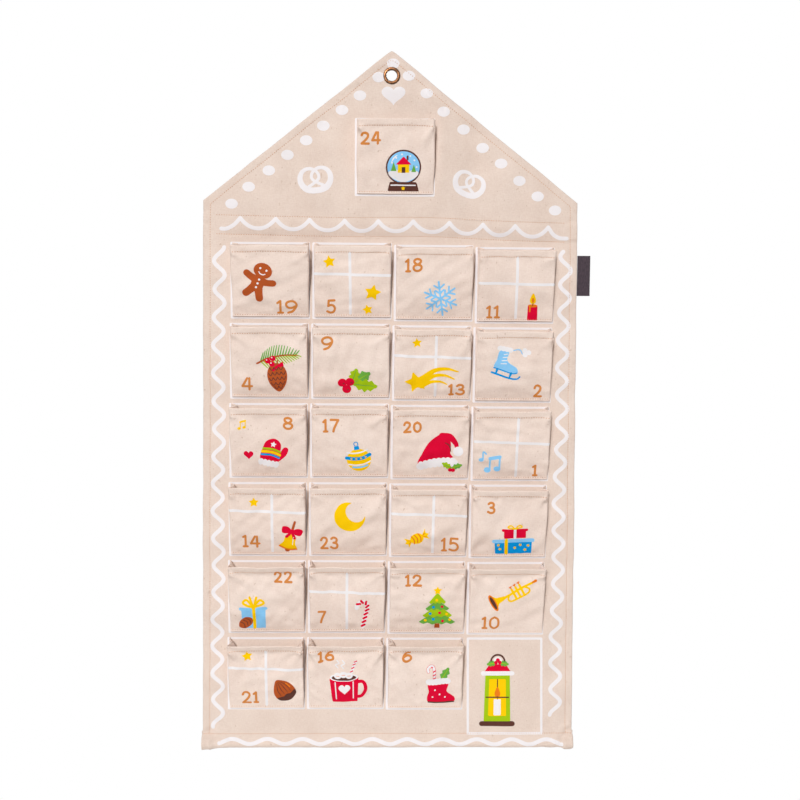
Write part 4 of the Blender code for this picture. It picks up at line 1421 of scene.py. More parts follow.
@dataclass
class PanelCloth:
    """The hemmed house-shaped panel, with the tunnel for the lower rod along its foot."""

    eaves_half: float = 232.0 * MM
    eaves_drop: float = 153.1 * MM
    foot_half: float = 238.5 * MM
    hem_width: float = 8.8 * MM
    fold_radius: float = 1.2 * MM
    foot_hem: float = 18.5 * MM
    foot_turn: float = 2.0 * MM
    rod_setback: float = 1.2 * MM
    tunnel_radius: float = 5.1 * MM
    tunnel_reach: float = 1.5 * MM
    hem_room: float = 1.9 * MM
    field_half: float = 202.0 * MM
    field_top: float = 204.0 * MM
    sleeve_drop: float = 185.8 * MM
    sleeve_seams: float = 23.4 * MM
    sleeve_length: float = 433.5 * MM
    sleeve_fall: float = 7.0 * MM
    edge_wave: float = 0.55 * MM
    apex_round: float = 1.6 * MM
    hole_radius: float = 8.0 * MM
    hole_ease: float = 18.0 * MM
    pocket_pitch: float = 101.5 * MM
    step: float = 3.7 * MM
    fine_step: float = 1.7 * MM
    fine_reach: float = 42.0 * MM

    INSETS = np.array([1.2, 2.6, 4.5, 6.5, 8.0, 8.8, 9.6, 11.5, 14.0]) * MM
    HEM_INSETS = np.array([4.0, 6.5, 8.1, 8.8, 9.0, 9.0]) * MM
    HEM_DEPTHS = np.array([2.4, 2.4, 2.4, 2.2, 1.6, 0.9]) * MM

    def __post_init__(self) -> None:
        """Take the overall height from the frame and lay out the tunnel's profile."""
        low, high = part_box("back_panel")
        self.apex = high[2]
        self.foot = low[2]
        self.slope = (self.apex + self.eaves_drop) / (self.eaves_half - self.apex_round)
        self.stretch = math.sqrt(1.0 + self.slope**2)
        self.seam = self.foot + self.foot_hem + self.foot_turn
        self.tunnel_line = self._tunnel_profile()

    def _tunnel_profile(self) -> tuple[Array, Array, Array]:
        """Run, depth and height of the tunnel: straight to the rod, round it and straight back."""
        centre = np.array([self.rod_setback, self.foot + self.tunnel_radius])
        front = np.array([-0.1 * MM, self.seam])
        back = np.array([CLOTH.hem + 0.1 * MM, self.seam])
        angles = []
        for point, side in ((front, 1.0), (back, -1.0)):
            away = point - centre
            reach = math.hypot(*away)
            angles.append(math.atan2(away[1], away[0]) + side * math.acos(self.tunnel_radius / reach))
        turn = np.linspace(angles[0], angles[1] + TAU, 28)
        arc = centre + self.tunnel_radius * np.column_stack((np.cos(turn), np.sin(turn)))
        line = np.vstack((front, arc, back))
        return run_along(line), line[:, 0], line[:, 1]

    def half_width(self, z: Array) -> Array:
        """Half the panel's width: a straight taper from foot to eaves, wider at the tunnel."""
        share = np.clip((-self.eaves_drop - z) / (-self.foot - self.eaves_drop), 0.0, 1.0)
        wave = ripple(z, 0 * z, 31, 75 * MM) * hump(share, 0.5, 0.36)
        half = self.eaves_half + (self.foot_half - self.eaves_half) * share + self.edge_wave * wave
        return half + self.tunnel_reach * smooth_step(-z, -self.seam - 4 * MM, -self.seam + 6 * MM)

    def gable(self, x: Array) -> Array:
        """Height of the gable edge: two slopes from a rounded apex, a little wavy."""
        away = np.sqrt(x**2 + self.apex_round**2) - self.apex_round
        share = np.abs(x) / self.eaves_half
        wave = ripple(x, 0 * x, 32, 60 * MM) * np.clip(share * (1.0 - share) * 6.0, 0.0, 1.0)
        return self.apex - away * self.slope - self.edge_wave * wave

    def _pocket_field(self, x: Array, z: Array) -> Array:
        """Where the rows of pockets hold the cloth: 1 within their field, 0 beyond it."""
        inside = smooth_step(self.field_half - np.abs(x), -9 * MM, 6 * MM)
        inside = inside * smooth_step(-z, self.field_top - 10 * MM, self.field_top + 2 * MM)
        return inside * smooth_step(z, self.seam, self.seam + 12 * MM)

    def _gable_field(self, x: Array, z: Array) -> Array:
        """Where the gable's pocket holds the cloth: 1 behind it, 0 round it."""
        beside = smooth_step(62 * MM - np.abs(x), 0.0, 14 * MM)
        return beside * smooth_step(-z, 30 * MM, 46 * MM) * smooth_step(z, -162 * MM, -150 * MM)

    def _rod_way(self, x: Array, z: Array) -> Array:
        """Where the upper rod slides past the ends of its sleeve: 1 on its way, 0 beside it."""
        beside = 1.0 - smooth_step(np.abs(z - self.sleeve_height(x)), 7 * MM, 15 * MM)
        end = self.sleeve_length / 2
        return beside * smooth_step(np.abs(x), end - 14 * MM, end - 4 * MM)

    def _soft_folds(self, x: Array, z: Array, inside: Array) -> Array:
        """Broad waves, upright folds, waves in the borders and between pockets, and rays from the eyelet."""
        total = FOLDS.broad * ripple(x, z, 11, 95 * MM) + FOLDS.small * ripple(x, z, 12, 38 * MM)
        total = total + FOLDS.upright * ripple(x, 0.25 * z, 13, 34 * MM) * hump(z, -110 * MM, 70 * MM)
        pair = hump(x, 52 * MM, 26 * MM) - hump(x, 100 * MM, 26 * MM)
        total = total + FOLDS.gable_pair * pair * hump(z, -100 * MM, 62 * MM)
        border = hump(np.abs(x), 225 * MM, 24 * MM)
        total = total + FOLDS.border * ripple(0.4 * x, z, 19, 46 * MM) * border
        gutter = np.sin(math.pi * x / self.pocket_pitch) ** 12 - 0.5
        total = total + FOLDS.gutter * gutter * ripple(0.2 * x, z, 20, 60 * MM) * inside
        away = np.hypot(x, z)
        rays = ripple(120 * MM * np.arctan2(x, -z + 1 * MM), 0.15 * away, 21, 30 * MM)
        rays = rays * hump(away, 80 * MM, 52 * MM) * smooth_step(away, 25 * MM, 60 * MM)
        return total + FOLDS.rays * rays

    def relief(self, x: Array, z: Array) -> Array:
        """How far the cloth stands forward: soft folds, held flat behind the pockets.

        Puckers cross the side and gable seams, grooves lie along every seam, the
        sleeve bulges over its rod, and the foot's corners crumple. On the upper rod's
        way the cloth may only stand forward, and round the eyelet it lies flat.
        """
        edge = self.half_width(z) - np.abs(x)
        gable_edge = (self.gable(x) - z) / self.stretch
        on_gable = smooth_step(z, -165 * MM, -140 * MM)
        inside = self._pocket_field(x, z)
        free = 1.0 - 0.86 * np.maximum(inside, 0.8 * self._gable_field(x, z))
        pucker = FOLDS.side_pucker * ripple(0.5 * edge, z, 14, 11 * MM)
        pucker = pucker * hump(edge, self.hem_width, 9 * MM) * (1 - on_gable)
        drawn = FOLDS.gable_pucker * ripple(np.abs(x) * self.stretch, 0.5 * gable_edge, 15, 12 * MM)
        pucker = pucker + drawn * hump(gable_edge, self.hem_width, 9 * MM) * on_gable
        groove = hump(edge, self.hem_width, 1.3 * MM) * (1 - on_gable)
        groove = groove + hump(gable_edge, self.hem_width, 1.3 * MM) * on_gable
        band = np.abs(self.sleeve_height(x) + self.sleeve_swell(x) - z) - self.sleeve_seams / 2
        on_sleeve = smooth_step(self.sleeve_length / 2 - np.abs(x), -2 * MM, 4 * MM)
        bulge = FOLDS.bulge * smooth_step(-band, 0.0, 9 * MM) * on_sleeve
        groove = groove + hump(band, 0.0, 1.4 * MM) * on_sleeve
        drawn = FOLDS.sleeve_pucker * ripple(x, 0.3 * z, 16, 15 * MM) * hump(band, 0.0, 8 * MM) * on_sleeve
        foot_line = z - (self.seam - self.foot_turn)
        groove = groove + hump(foot_line, 0.0, 1.3 * MM)
        low = FOLDS.foot_pucker * ripple(x, 0.4 * z, 17, 17 * MM) * hump(foot_line, -3 * MM, 12 * MM)
        corner = hump(edge, 0.0, 38 * MM) * hump(z, self.seam - 8 * MM, 26 * MM)
        crumple = FOLDS.crumple * ripple(x, z, 18, 15 * MM) * corner
        folds = self._soft_folds(x, z, inside) * free + pucker + (drawn + low) * (0.4 + 0.6 * free) + crumple
        folds = folds + (0.6 * np.abs(folds) - folds) * self._rod_way(x, z)
        return (folds - FOLDS.groove * groove + bulge) * smooth_step(np.hypot(x, z), 11 * MM, 20 * MM)

    def sleeve_height(self, x: Array) -> Array:
        """Height of the upper rod's sleeve, which falls to the right."""
        return -self.sleeve_drop - x * self.sleeve_fall / self.sleeve_length

    def sleeve_swell(self, x: Array) -> Array:
        """How far the sleeve's seams wander up from a straight line: a hump right of the middle."""
        return 2.8 * MM * hump(x, 45 * MM, 75 * MM)

    def point(self, x: Array, z: Array, lift: Array) -> Array:
        """A place on the panel's front, for flat cloth coordinates.

        Above the foot seam the cloth is upright. Below it, the flat height is a run
        round the tunnel. The relief and the lift push along the cloth's outward normal.

        Args:
            x: Distance to the right.
            z: Height on the flat cloth.
            lift: Height above the cloth, outwards.

        Returns:
            The points in space.
        """
        x, z, lift = np.broadcast_arrays(x, z, lift)
        run, depth, height = self.tunnel_line
        along = np.clip(self.seam - z, 0.0, run[-1])
        y = np.where(z < self.seam, np.interp(along, run, depth), 0.0)
        up = np.where(z < self.seam, np.interp(along, run, height), z)
        nudge = 0.8 * MM
        ahead = np.clip(along + nudge, 0.0, run[-1])
        behind = np.clip(along - nudge, 0.0, run[-1])
        dy = np.interp(ahead, run, depth) - np.interp(behind, run, depth)
        dz = np.interp(ahead, run, height) - np.interp(behind, run, height)
        dz = np.where(z >= self.seam + nudge, -1.0, dz)
        dy = np.where(z >= self.seam + nudge, 0.0, dy)
        size = np.hypot(dy, dz)
        stands = self.relief(x, z)
        round_rod = smooth_step(along, 8 * MM, 14 * MM)
        stands = stands + (np.abs(stands) * 0.7 - stands) * round_rod
        hem_line = self.foot_half - self.hem_width
        over_hem = smooth_step(np.abs(x), hem_line - 5 * MM, hem_line)
        stands = stands + self.hem_room * over_hem * smooth_step(along, 3 * MM, 9 * MM)
        out = stands + lift
        return np.stack((x, y + out * dz / size, up - out * dy / size), axis=-1)

    def front_places(self) -> tuple[Array, Array]:
        """Flat places of the front's grid: side columns keep their inset, rows bend to the gable."""
        inset = self.INSETS
        count = int(round((self.eaves_half - inset[-1]) / self.step))
        inner = np.linspace(-1.0, 1.0, 2 * count + 1)[1:-1]
        tunnel_end = self.seam - self.tunnel_line[0][-1]
        break_line = -self.field_top + 0.5 * MM
        body = np.arange(break_line - self.step, self.seam + 9 * MM, -self.step)
        near_foot = np.linspace(self.seam + 7 * MM, self.seam, 5)
        round_rod = np.linspace(self.seam, tunnel_end, 25)[1:]
        low_rows = np.concatenate((body, near_foot, round_rod))
        fine = int(round(self.fine_reach / self.fine_step))
        share_end = self.fine_reach / (self.apex - inset[-1] * self.stretch - break_line)
        coarse = int(round((1.0 - share_end) / share_end * self.fine_reach / self.step))
        high = np.linspace(1.0, share_end, coarse + 1)[1:-1]
        shares = np.concatenate((high, np.linspace(share_end, 0.0, fine)))
        half_low = self.half_width(low_rows)[:, None]
        x_low = np.hstack((-half_low + inset, inner * (half_low - inset[-1]), half_low - inset[::-1]))
        z_low = np.broadcast_to(low_rows[:, None], x_low.shape)
        half = self.eaves_half
        x_top = np.concatenate((-half + inset, inner * (half - inset[-1]), half - inset[::-1]))
        band = self.gable(x_top)[None] - inset[:, None] * self.stretch
        top_line = band[-1]
        fan = break_line + shares[:, None] * (top_line - break_line)[None]
        z_high = np.vstack((band, fan))
        widen = self.half_width(z_high) - half
        x_high = x_top[None] * (1.0 + widen / half)
        return np.vstack((x_high, x_low)), np.vstack((z_high, z_low))

    def _shell(self) -> tuple[Array, Array]:
        """The front's grid, opened for the eyelet, and the hems folded round its edge onto its back.

        The hem's profile is a half turn about the fold's centre, then a flat stretch,
        then a step down to the panel. It is carried round the edge with mitred corners.

        Returns:
            Points and faces of the outer skin.
        """
        x, z = self.front_places()
        rows, columns = x.shape
        faces = grid_faces(rows, columns)
        index = np.arange(rows * columns).reshape(rows, columns)
        edge = np.concatenate((index[::-1, 0], index[0, 1:], index[1:, -1]))
        on_top = np.zeros(len(edge), dtype=bool)
        on_top[rows - 1 : rows - 1 + columns] = True
        turn = np.linspace(0.0, math.pi, 8)[1:]
        radius = self.fold_radius
        inset = np.concatenate((radius - radius * np.sin(turn), self.HEM_INSETS))
        depth = np.concatenate((radius - radius * np.cos(turn), self.HEM_DEPTHS))
        flat_x, flat_z = x.ravel(), z.ravel()
        edge_x, edge_z = flat_x[edge], flat_z[edge]
        hole = np.maximum(np.hypot(flat_x, flat_z), 0.01 * MM)
        opened = hole[faces].min(axis=1) < 0.8 * self.step
        rim = np.intersect1d(faces[opened], faces[~opened])
        ease = self.hole_radius + hole * (self.hole_ease - self.hole_radius) / self.hole_ease
        pull = np.where(hole < self.hole_ease, ease / hole, 1.0)
        pull[rim] = self.hole_radius / hole[rim]
        points = [self.point(flat_x * pull, flat_z * pull, np.zeros(len(flat_x)))]
        all_faces = [faces[~opened]]
        previous = edge
        count = len(flat_x)
        fall = np.clip((edge_z - self.foot) / (-self.eaves_drop - self.foot), 0.0, 1.0)
        for a, b in zip(inset, depth):
            more = a - radius
            side_x = edge_x - np.sign(edge_x) * more
            side_z = edge_z - (self.stretch - self.slope) * more * fall * (edge_z > self.seam)
            top_x = edge_x * (self.eaves_half - a) / (self.eaves_half - radius)
            top_z = self.gable(top_x) - a * self.stretch
            ring_x = np.where(on_top, top_x, side_x)
            ring_z = np.where(on_top, top_z, side_z)
            points.append(self.point(ring_x, ring_z, np.full(len(edge), -b)))
            ring = np.arange(len(edge)) + count
            quads = (ring[:-1], ring[1:], previous[1:], previous[:-1])
            all_faces.append(np.stack(quads, axis=1))
            previous = ring
            count += len(edge)
        return np.vstack(points), np.vstack(all_faces)

    def build(self) -> bpy.types.Object:
        """Make the panel from its outer skin, and give it the cloth's thickness inwards."""
        panel = one_piece("canvas_panel", self._shell(), CANVAS)
        middle = panel.data.polygons[len(panel.data.polygons) // 2]
        if middle.normal[1] > 0.0:
            panel.data.flip_normals()
        wall = panel.modifiers.new("cloth", "SOLIDIFY")
        wall.thickness = CLOTH.thickness
        wall.offset = -1.0
        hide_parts("back_panel")
        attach(panel, "panel")
        body_height = -self.seam - self.eaves_drop
        flat = 2 * self.eaves_half * (self.apex + self.eaves_drop) / 2
        flat += (self.eaves_half + self.foot_half) * body_height
        flat += 2 * self.foot_half * self.tunnel_line[0][-1]
        flat += 2 * self.hem_width * (body_height + self.eaves_half * self.stretch)
        return panel

    def _hem_rows(self, stack: MeshStack, surface: Surface, inset: float, low: float, tip: float) -> None:
        """Sew down both sides and along both slopes of the gable.

        Args:
            stack: Takes the stitches.
            surface: The side of the cloth that shows them.
            inset: Their distance from the edge.
            low: Height at which the side rows end.
            tip: Distance from the middle at which the gable rows end.
        """
        top = -self.eaves_drop - inset * (self.stretch - self.slope)
        heights = np.linspace(top, low, 60)
        ends = np.linspace(self.eaves_half - inset, tip, 60)
        for side in (-1.0, 1.0):
            sew(stack, surface, np.column_stack((side * (self.half_width(heights) - inset), heights)))
            sew(stack, surface, np.column_stack((side * ends, self.gable(ends) - inset * self.stretch)))

    def seams(self) -> bpy.types.Object:
        """Sew the hems, the gable, the upper sleeve and the foot, just proud of the cloth."""
        stack = MeshStack()
        low = self.seam - self.foot_turn
        self._hem_rows(stack, self.point, self.hem_width, low, 0.0)
        across = np.linspace(-self.sleeve_length / 2, self.sleeve_length / 2, 60)
        for side in (-0.5, 0.5):
            line = self.sleeve_height(across) + self.sleeve_swell(across) + side * self.sleeve_seams
            sew(stack, self.point, np.column_stack((across, line)))
        half = self.foot_half - 0.5 * MM
        sew(stack, self.point, [(-half, low), (half, low)])
        piece = stack.build("panel_stitches")
        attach(piece, "panel")
        return piece

    def behind(self, x: Array, z: Array, lift: Array) -> Array:
        """A place on the panel's back, lifted away from it."""
        return self.point(x, z, -CLOTH.thickness - lift)

    def on_hem(self, x: Array, z: Array, lift: Array) -> Array:
        """A place on the back of the folded hem, lifted away from it."""
        return self.point(x, z, -CLOTH.hem - lift)

    def hem_backs(self) -> bpy.types.Object:
        """Show the thread of the side and gable hems where it comes out on the folded hem."""
        stack = MeshStack()
        self._hem_rows(stack, self.on_hem, self.hem_width - 0.5 * MM, self.seam + 4 * MM, 2 * MM)
        piece = stack.build("hem_back_stitches")
        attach(piece, "panel")
        return piece

    def pocket_backs(self, pockets: list["Pocket"]) -> bpy.types.Object:
        """Show the thread of each pocket's seam on the panel's back: down a side, along the foot and up."""
        stack = MeshStack()
        for pocket in pockets:
            half = pocket.width / 2 - 1.9 * MM
            low = pocket.foot + pocket.seam_rise
            high = pocket.foot + pocket.height - 1 * MM
            corners = ((-half, high), (-half, low), (half, low), (half, high))
            for (u0, v0), (u1, v1) in zip(corners, corners[1:]):
                sew(stack, self.behind, [(pocket.middle + u0, v0), (pocket.middle + u1, v1)])
        piece = stack.build("pocket_back_stitches")
        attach(piece, "panel")
        return piece


@dataclass(frozen=True)
class RowShape:
    """How the pockets of one row hang: their sag, the rim's bow, rise and outward roll, and the crumple."""

    slump: float
    bow: float
    raised: float
    roll: float
    crumple: float


ROW_SHAPES = (
    RowShape(0.4 * MM, 0.4 * MM, -0.1 * MM, 0.6 * MM, 1.0),
    RowShape(0.8 * MM, 0.2 * MM, 0.7 * MM, 1.1 * MM, 1.0),
    RowShape(0.9 * MM, 0.1 * MM, 1.3 * MM, 1.5 * MM, 1.1),
    RowShape(1.1 * MM, 0.0 * MM, 2.2 * MM, 2.6 * MM, 1.15),
    RowShape(1.4 * MM, -0.2 * MM, 3.8 * MM, 4.8 * MM, 1.3),
    RowShape(1.8 * MM, -0.5 * MM, 3.4 * MM, 5.0 * MM, 1.35),
    RowShape(0.4 * MM, 1.6 * MM, 0.1 * MM, 0.6 * MM, 1.5),
)


@dataclass
class Pocket:
    """One bellows pocket: its front, its pleats, its stitches and its print."""

    number: int
    row: int
    width: float = 95.0 * MM
    height: float = 90.5 * MM
    hem: float = 8.0 * MM
    tilt: float = math.radians(15.0)
    hinge_depth: float = 2.6 * MM
    seam_rise: float = 2.5 * MM
    belly: float = 1.5 * MM
    pleat: float = 15.0 * MM
    pleat_inset: float = 0.4 * MM
    pleat_cloth: float = 0.65 * MM
    wave: float = 1.15 * MM
    small_wave: float = 0.6 * MM
    pucker: float = 0.42 * MM
    hem_step: float = 0.6 * MM
    hem_groove: float = 0.22 * MM
    seam_groove: float = 0.25 * MM
    side_roll: float = 1.3 * MM
    side_reach: float = 1.9 * MM

    SLANTS = (24.0, 43.0, 62.0)

    def __post_init__(self) -> None:
        """Take the pocket's place from its solid and lay out its slope."""
        low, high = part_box(f"{self.node}_gusset")
        self.middle = (low[0] + high[0]) / 2
        self.foot = low[2]
        self.shape = ROW_SHAPES[self.row]
        self.way = np.linspace(0.0, self.height + 7 * MM, 520)
        angle = self.tilt * smooth_step(self.way, 0.5 * MM, 5.5 * MM)
        step = self.way[1] - self.way[0]
        self.out = np.concatenate(([0.0], np.cumsum(np.sin(angle[:-1]) * step)))
        self.up = np.concatenate(([0.0], np.cumsum(np.cos(angle[:-1]) * step)))
        self.angle = angle

    @property
    def node(self) -> str:
        """The start of the pocket's node names."""
        return f"pocket_{self.number:02d}"

    def _creases(self, u: Array, v: Array) -> Array:
        """Folds that run down and inwards from both upper corners and fade on their way.

        Each is a bell across its own slanting line, a little wider as it goes on.
        """
        draw = np.random.default_rng(100 + self.number)
        total = np.zeros(np.broadcast(u, v).shape)
        for side in (-1.0, 1.0):
            for slant in self.SLANTS:
                lean = math.radians(slant + draw.uniform(-8.0, 8.0))
                size = draw.uniform(0.7, 1.7) * MM * (0.75 + 0.35 * self.shape.slump / MM)
                reach = draw.uniform(20.0, 34.0) * MM
                inward = self.width / 2 - side * u - 1.5 * MM
                down = self.height - self.hem - 0.5 * MM - v
                run = inward * math.cos(lean) + down * math.sin(lean)
                off = inward * math.sin(lean) - down * math.cos(lean)
                width = 2.6 * MM + 0.08 * np.maximum(run, 0.0)
                fade = np.exp(-((np.maximum(run, 0.0) / reach) ** 1.5)) * smooth_step(run, -2 * MM, 3 * MM)
                total = total + size * np.exp(-((off / width) ** 2)) * fade
        return total * self.shape.crumple

    def relief(self, u: Array, v: Array) -> Array:
        """How far the front stands out from its flat slope.

        A belly, a sag under the hem, the hem's own thickness, broad ripples, folds
        that run in from the upper corners, and puckers along both seams.
        """
        half = self.width / 2
        seed = 100 + self.number
        slump = self.shape.slump
        hem_line = self.height - self.hem
        rise = np.clip((v - self.seam_rise) / (self.height - self.seam_rise), 0.0, 1.0)
        free = smooth_step(v, 4 * MM, 16 * MM) * (1 - 0.6 * smooth_step(v, 70 * MM, 84 * MM))
        total = self.belly * np.sin(math.pi * rise)
        middle = 0.5 + 0.5 * np.cos(math.pi * np.clip(u / half, -1.0, 1.0))
        total = total - slump * hump(v, 71 * MM, 11 * MM) * (0.45 + 0.55 * middle)
        total = total + 0.7 * slump * hump(v, 30 * MM, 20 * MM) * middle
        total = total + self.wave * ripple(u, v, seed, 44 * MM) * free
        total = total + self.small_wave * self.shape.crumple * ripple(u, v, seed + 40, 20 * MM) * free
        total = total + self._creases(u, v)
        puckers = self.pucker * ripple(u, 0.35 * v, seed + 80, 8.5 * MM)
        total = total + puckers * (hump(v, hem_line - 2.5 * MM, 4.5 * MM) + hump(v, 5.5 * MM, 4.5 * MM))
        total = total + self.hem_step * smooth_step(v, hem_line - 1.8 * MM, hem_line + 1.8 * MM)
        flare = np.clip((v - hem_line + 7 * MM) / (7 * MM + self.hem), 0.0, 1.2)
        total = total + self.shape.roll * flare**1.45
        uneven = 0.6 + 0.4 * ripple(u, 0 * u, seed + 30, 33 * MM)
        total = total - 0.9 * slump * uneven * hump(v, hem_line - 5 * MM, 4.6 * MM)
        total = total - self.hem_groove * hump(v, hem_line - 0.6 * MM, 1.3 * MM)
        total = total - self.seam_groove * hump(v, self.seam_rise, 0.9 * MM)
        beside = np.clip((np.abs(u) - half + self.side_reach) / self.side_reach, 0.0, 1.0)
        return total - self.side_roll * beside**2

    def point(self, u: Array, v: Array, lift: Array) -> Array:
        """A place on the front's outer face.

        The cloth rises upright from the foot, leans out by the tilt in an easy bend,
        and then the relief and the lift push it along its outward normal.

        Args:
            u: Distance to the right of the pocket's middle.
            v: Way up the cloth from the foot.
            lift: Height above the cloth, outwards.

        Returns:
            The points in space.
        """
        u, v, lift = np.broadcast_arrays(u, v, lift)
        half = self.width / 2
        rise = np.clip(v / self.height, 0.0, 1.2)
        arch = self.shape.bow * np.cos(0.5 * math.pi * np.clip(u / half, -1.0, 1.0)) + self.shape.raised
        arch = arch + 0.55 * MM * ripple(u, 0 * u, 200 + self.number, 42 * MM)
        way = v + arch * rise**2
        angle = np.interp(way, self.way, self.angle)
        out = self.relief(u, v) + lift + CLOTH.thickness / 2
        waist = 0.5 * MM * ripple(v, 0 * v, 300 + self.number, 70 * MM) * smooth_step(v, 0.0, 20 * MM)
        x = self.middle + u + waist * u / half
        y = -self.hinge_depth - np.interp(way, self.way, self.out) - out * np.cos(angle)
        z = self.foot + np.interp(way, self.way, self.up) - out * np.sin(angle)
        return np.stack((x, y, z), axis=-1)

    def thickness(self, v: Array) -> Array:
        """Thickness of the front: one cloth, and three along the top hem."""
        hem_line = self.height - self.hem
        more = smooth_step(v, hem_line - 0.4 * MM, hem_line + 0.2 * MM)
        return CLOTH.thickness + (CLOTH.hem - CLOTH.thickness) * more

    def front(self) -> bpy.types.Object:
        """Make the front as a closed body whose top and foot edges are rounded folds."""
        top = self.height
        rows = np.concatenate((
            np.array([0.0, 0.1, 0.4, 0.9]) * MM,
            np.linspace(1.7 * MM, 80.6 * MM, 47),
            np.array([81.5, 82.1, 82.5, 82.9, 83.6, 85.2, 87.2, 88.6]) * MM,
            top - np.array([1.2, 0.8, 0.45, 0.2, 0.06, 0.0]) * MM,
        ))
        side = np.array([47.5, 47.35, 47.0, 46.4, 45.7]) * MM
        columns = np.concatenate((-side, np.linspace(-44.8 * MM, 44.8 * MM, 50), side[::-1]))
        v, u = np.meshgrid(rows, columns, indexing="ij")
        thick = self.thickness(v)
        round_top = np.clip((v - top + 1.2 * MM) / (1.2 * MM), 0.0, 1.0)
        round_foot = np.clip((0.4 * MM - v) / (0.4 * MM), 0.0, 1.0)
        ease = 1.15 * MM * (1 - np.sqrt(1 - round_top**2)) + 0.38 * MM * (1 - np.sqrt(1 - round_foot**2))
        skin = slab(self.point(u, v, -ease), self.point(u, v, ease - thick))
        piece = one_piece(f"{self.node}_cloth", skin, POCKET_CANVAS_PAINTED_LIGHTER)
        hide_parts(f"{self.node}_front")
        self.follow(piece)
        return piece

    def follow(self, piece: bpy.types.Object) -> None:
        """Bake the piece's transform into its mesh."""
        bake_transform(piece)

    def pleat_leg(self, side: float, back: bool) -> bpy.types.Object:
        """Make one leg of a V pleat.

        Its outer edge lies on the panel or behind the front. Its inner edge is the
        fold, half way between them and as far in as the leg's length allows. Between
        the two edges it is straight but for a soft crumple.

        Args:
            side: -1 for the left pleat, 1 for the right one.
            back: Whether it is the leg on the panel.

        Returns:
            The leg.
        """
        top = self.height
        rows = np.concatenate((
            np.linspace(1.2 * MM, 81.0 * MM, 22),
            np.array([82.2, 82.8, 84.5, 87.0]) * MM,
            top - np.array([1.3, 0.8, 0.4, 0.12, 0.0]) * MM,
        ))
        v, t = np.meshgrid(rows, np.linspace(0.0, 1.0, 9), indexing="ij")
        edge = side * (self.width / 2 - self.pleat_inset)
        behind = self.thickness(v) + 0.45 * MM
        near = self.point(edge - side * 1.2 * MM + 0 * v, v, -behind)
        near[..., 0] = self.middle + edge
        far_depth = CLOTH.gap + 0.45 * MM
        reared = (1.6 + 0.7 * math.sin(5 * self.number + 2 * side)) * MM * smooth_step(v, 68 * MM, top)
        far = np.stack((self.middle + edge + 0 * v, -far_depth + 0 * v, self.foot + v + reared), axis=-1)
        half_depth = np.clip((far[..., 1] - near[..., 1]) / 2, 0.0, 0.97 * self.pleat)
        fold = (near + far) / 2
        drawn_out = (2.6 + 1.2 * math.sin(3 * self.number + side)) * MM * smooth_step(v, 66 * MM, top)
        fold[..., 0] -= side * (np.sqrt(self.pleat**2 - half_depth**2) - drawn_out)
        outer = far if back else near
        line = outer + (fold - outer) * t[..., None]
        seed = 500 + 4 * self.number + (2 if side > 0 else 0) + (1 if back else 0)
        across = t * self.pleat
        room = smooth_step(v, 6 * MM, 40 * MM) * np.sin(math.pi * t)
        crumple = (0.9 * MM * ripple(across, v, seed, 26 * MM) + 0.6 * MM * hump(v, 78 * MM, 8 * MM)) * room
        normal = np.cross(np.gradient(line, axis=0), np.gradient(line, axis=1))
        normal /= np.linalg.norm(normal, axis=-1, keepdims=True)
        hem = smooth_step(v, top - self.hem - 0.3 * MM, top - self.hem + 0.4 * MM)
        ends = np.clip(4 * (1 - t) + 0.3, 0.0, 1.0) * np.clip(3 * t + 0.3, 0.0, 1.0)
        half = self.pleat_cloth / 2 + 0.75 * MM * hem * ends
        round_top = np.clip((v - top + 1.3 * MM) / (1.3 * MM), 0.0, 1.0)
        half = half * np.sqrt(np.maximum(1 - round_top**2, 0.02))
        line = line + normal * crumple[..., None]
        wall = normal * half[..., None]
        hand = "right" if side > 0 else "left"
        leg = "back" if back else "front"
        piece = one_piece(f"{self.node}_pleat_{hand}_{leg}", slab(line + wall, line - wall), POCKET_CANVAS_PAINTED_LIGHTER)
        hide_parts(f"{self.node}_gusset")
        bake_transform(piece)
        return piece

    def seam_stitches(self) -> bpy.types.Object:
        """Sew the top hem and the foot seam."""
        stack = MeshStack()
        half = self.width / 2 - 1.8 * MM
        for height in (self.height - self.hem, self.seam_rise):
            sew(stack, self.point, [(-half, height), (half, height)])
        piece = stack.build(f"{self.node}_stitches")
        self.follow(piece)
        return piece

    def print(self) -> bpy.types.Object:
        """Print the number, the window's cross where there is one, and the picture."""
        sketch = Sketch(self.point)
        PICTURES[self.number](sketch)
        sketch.at().number(self.number, *NUMBER_PLACES[self.number])
        if self.number in CROSS_PLACES:
            u, v = CROSS_PLACES[self.number]
            lean = 0.35 * math.sin(self.number)
            upright = ((u + lean, 81.2), (u - 0.6 * lean, 42.0), (u - lean, 4.6))
            level = ((-46.2, v + 1.2 + lean), (0.0, v + 0.5 * lean), (46.2, v - 1.2 - lean))
            sketch.cross(upright, level)
        piece = sketch.build(f"{self.node}_print")
        self.follow(piece)
        return piece

    def foot_fold(self) -> tuple[Array, Array]:
        """The turned foot edge under the seam: a flattened round carried across the pocket."""
        half = self.width / 2 - 0.2 * MM
        across = np.linspace(-half, half, 24)[:, None]
        turn = np.linspace(0.0, TAU, 12, endpoint=False)[None]
        middle = (CLOTH.gap + self.hinge_depth - 0.45 * MM) / 2
        reach = middle - CLOTH.gap
        x = self.middle + across + 0 * turn
        y = -middle + reach * np.cos(turn) + 0 * across
        wave = 0.2 * MM * ripple(across, 0 * across, self.number, 15 * MM)
        z = self.foot + 3 * MM + 2.9 * MM * np.sin(turn) + wave
        return tube(np.stack((x, y, z), axis=-1))


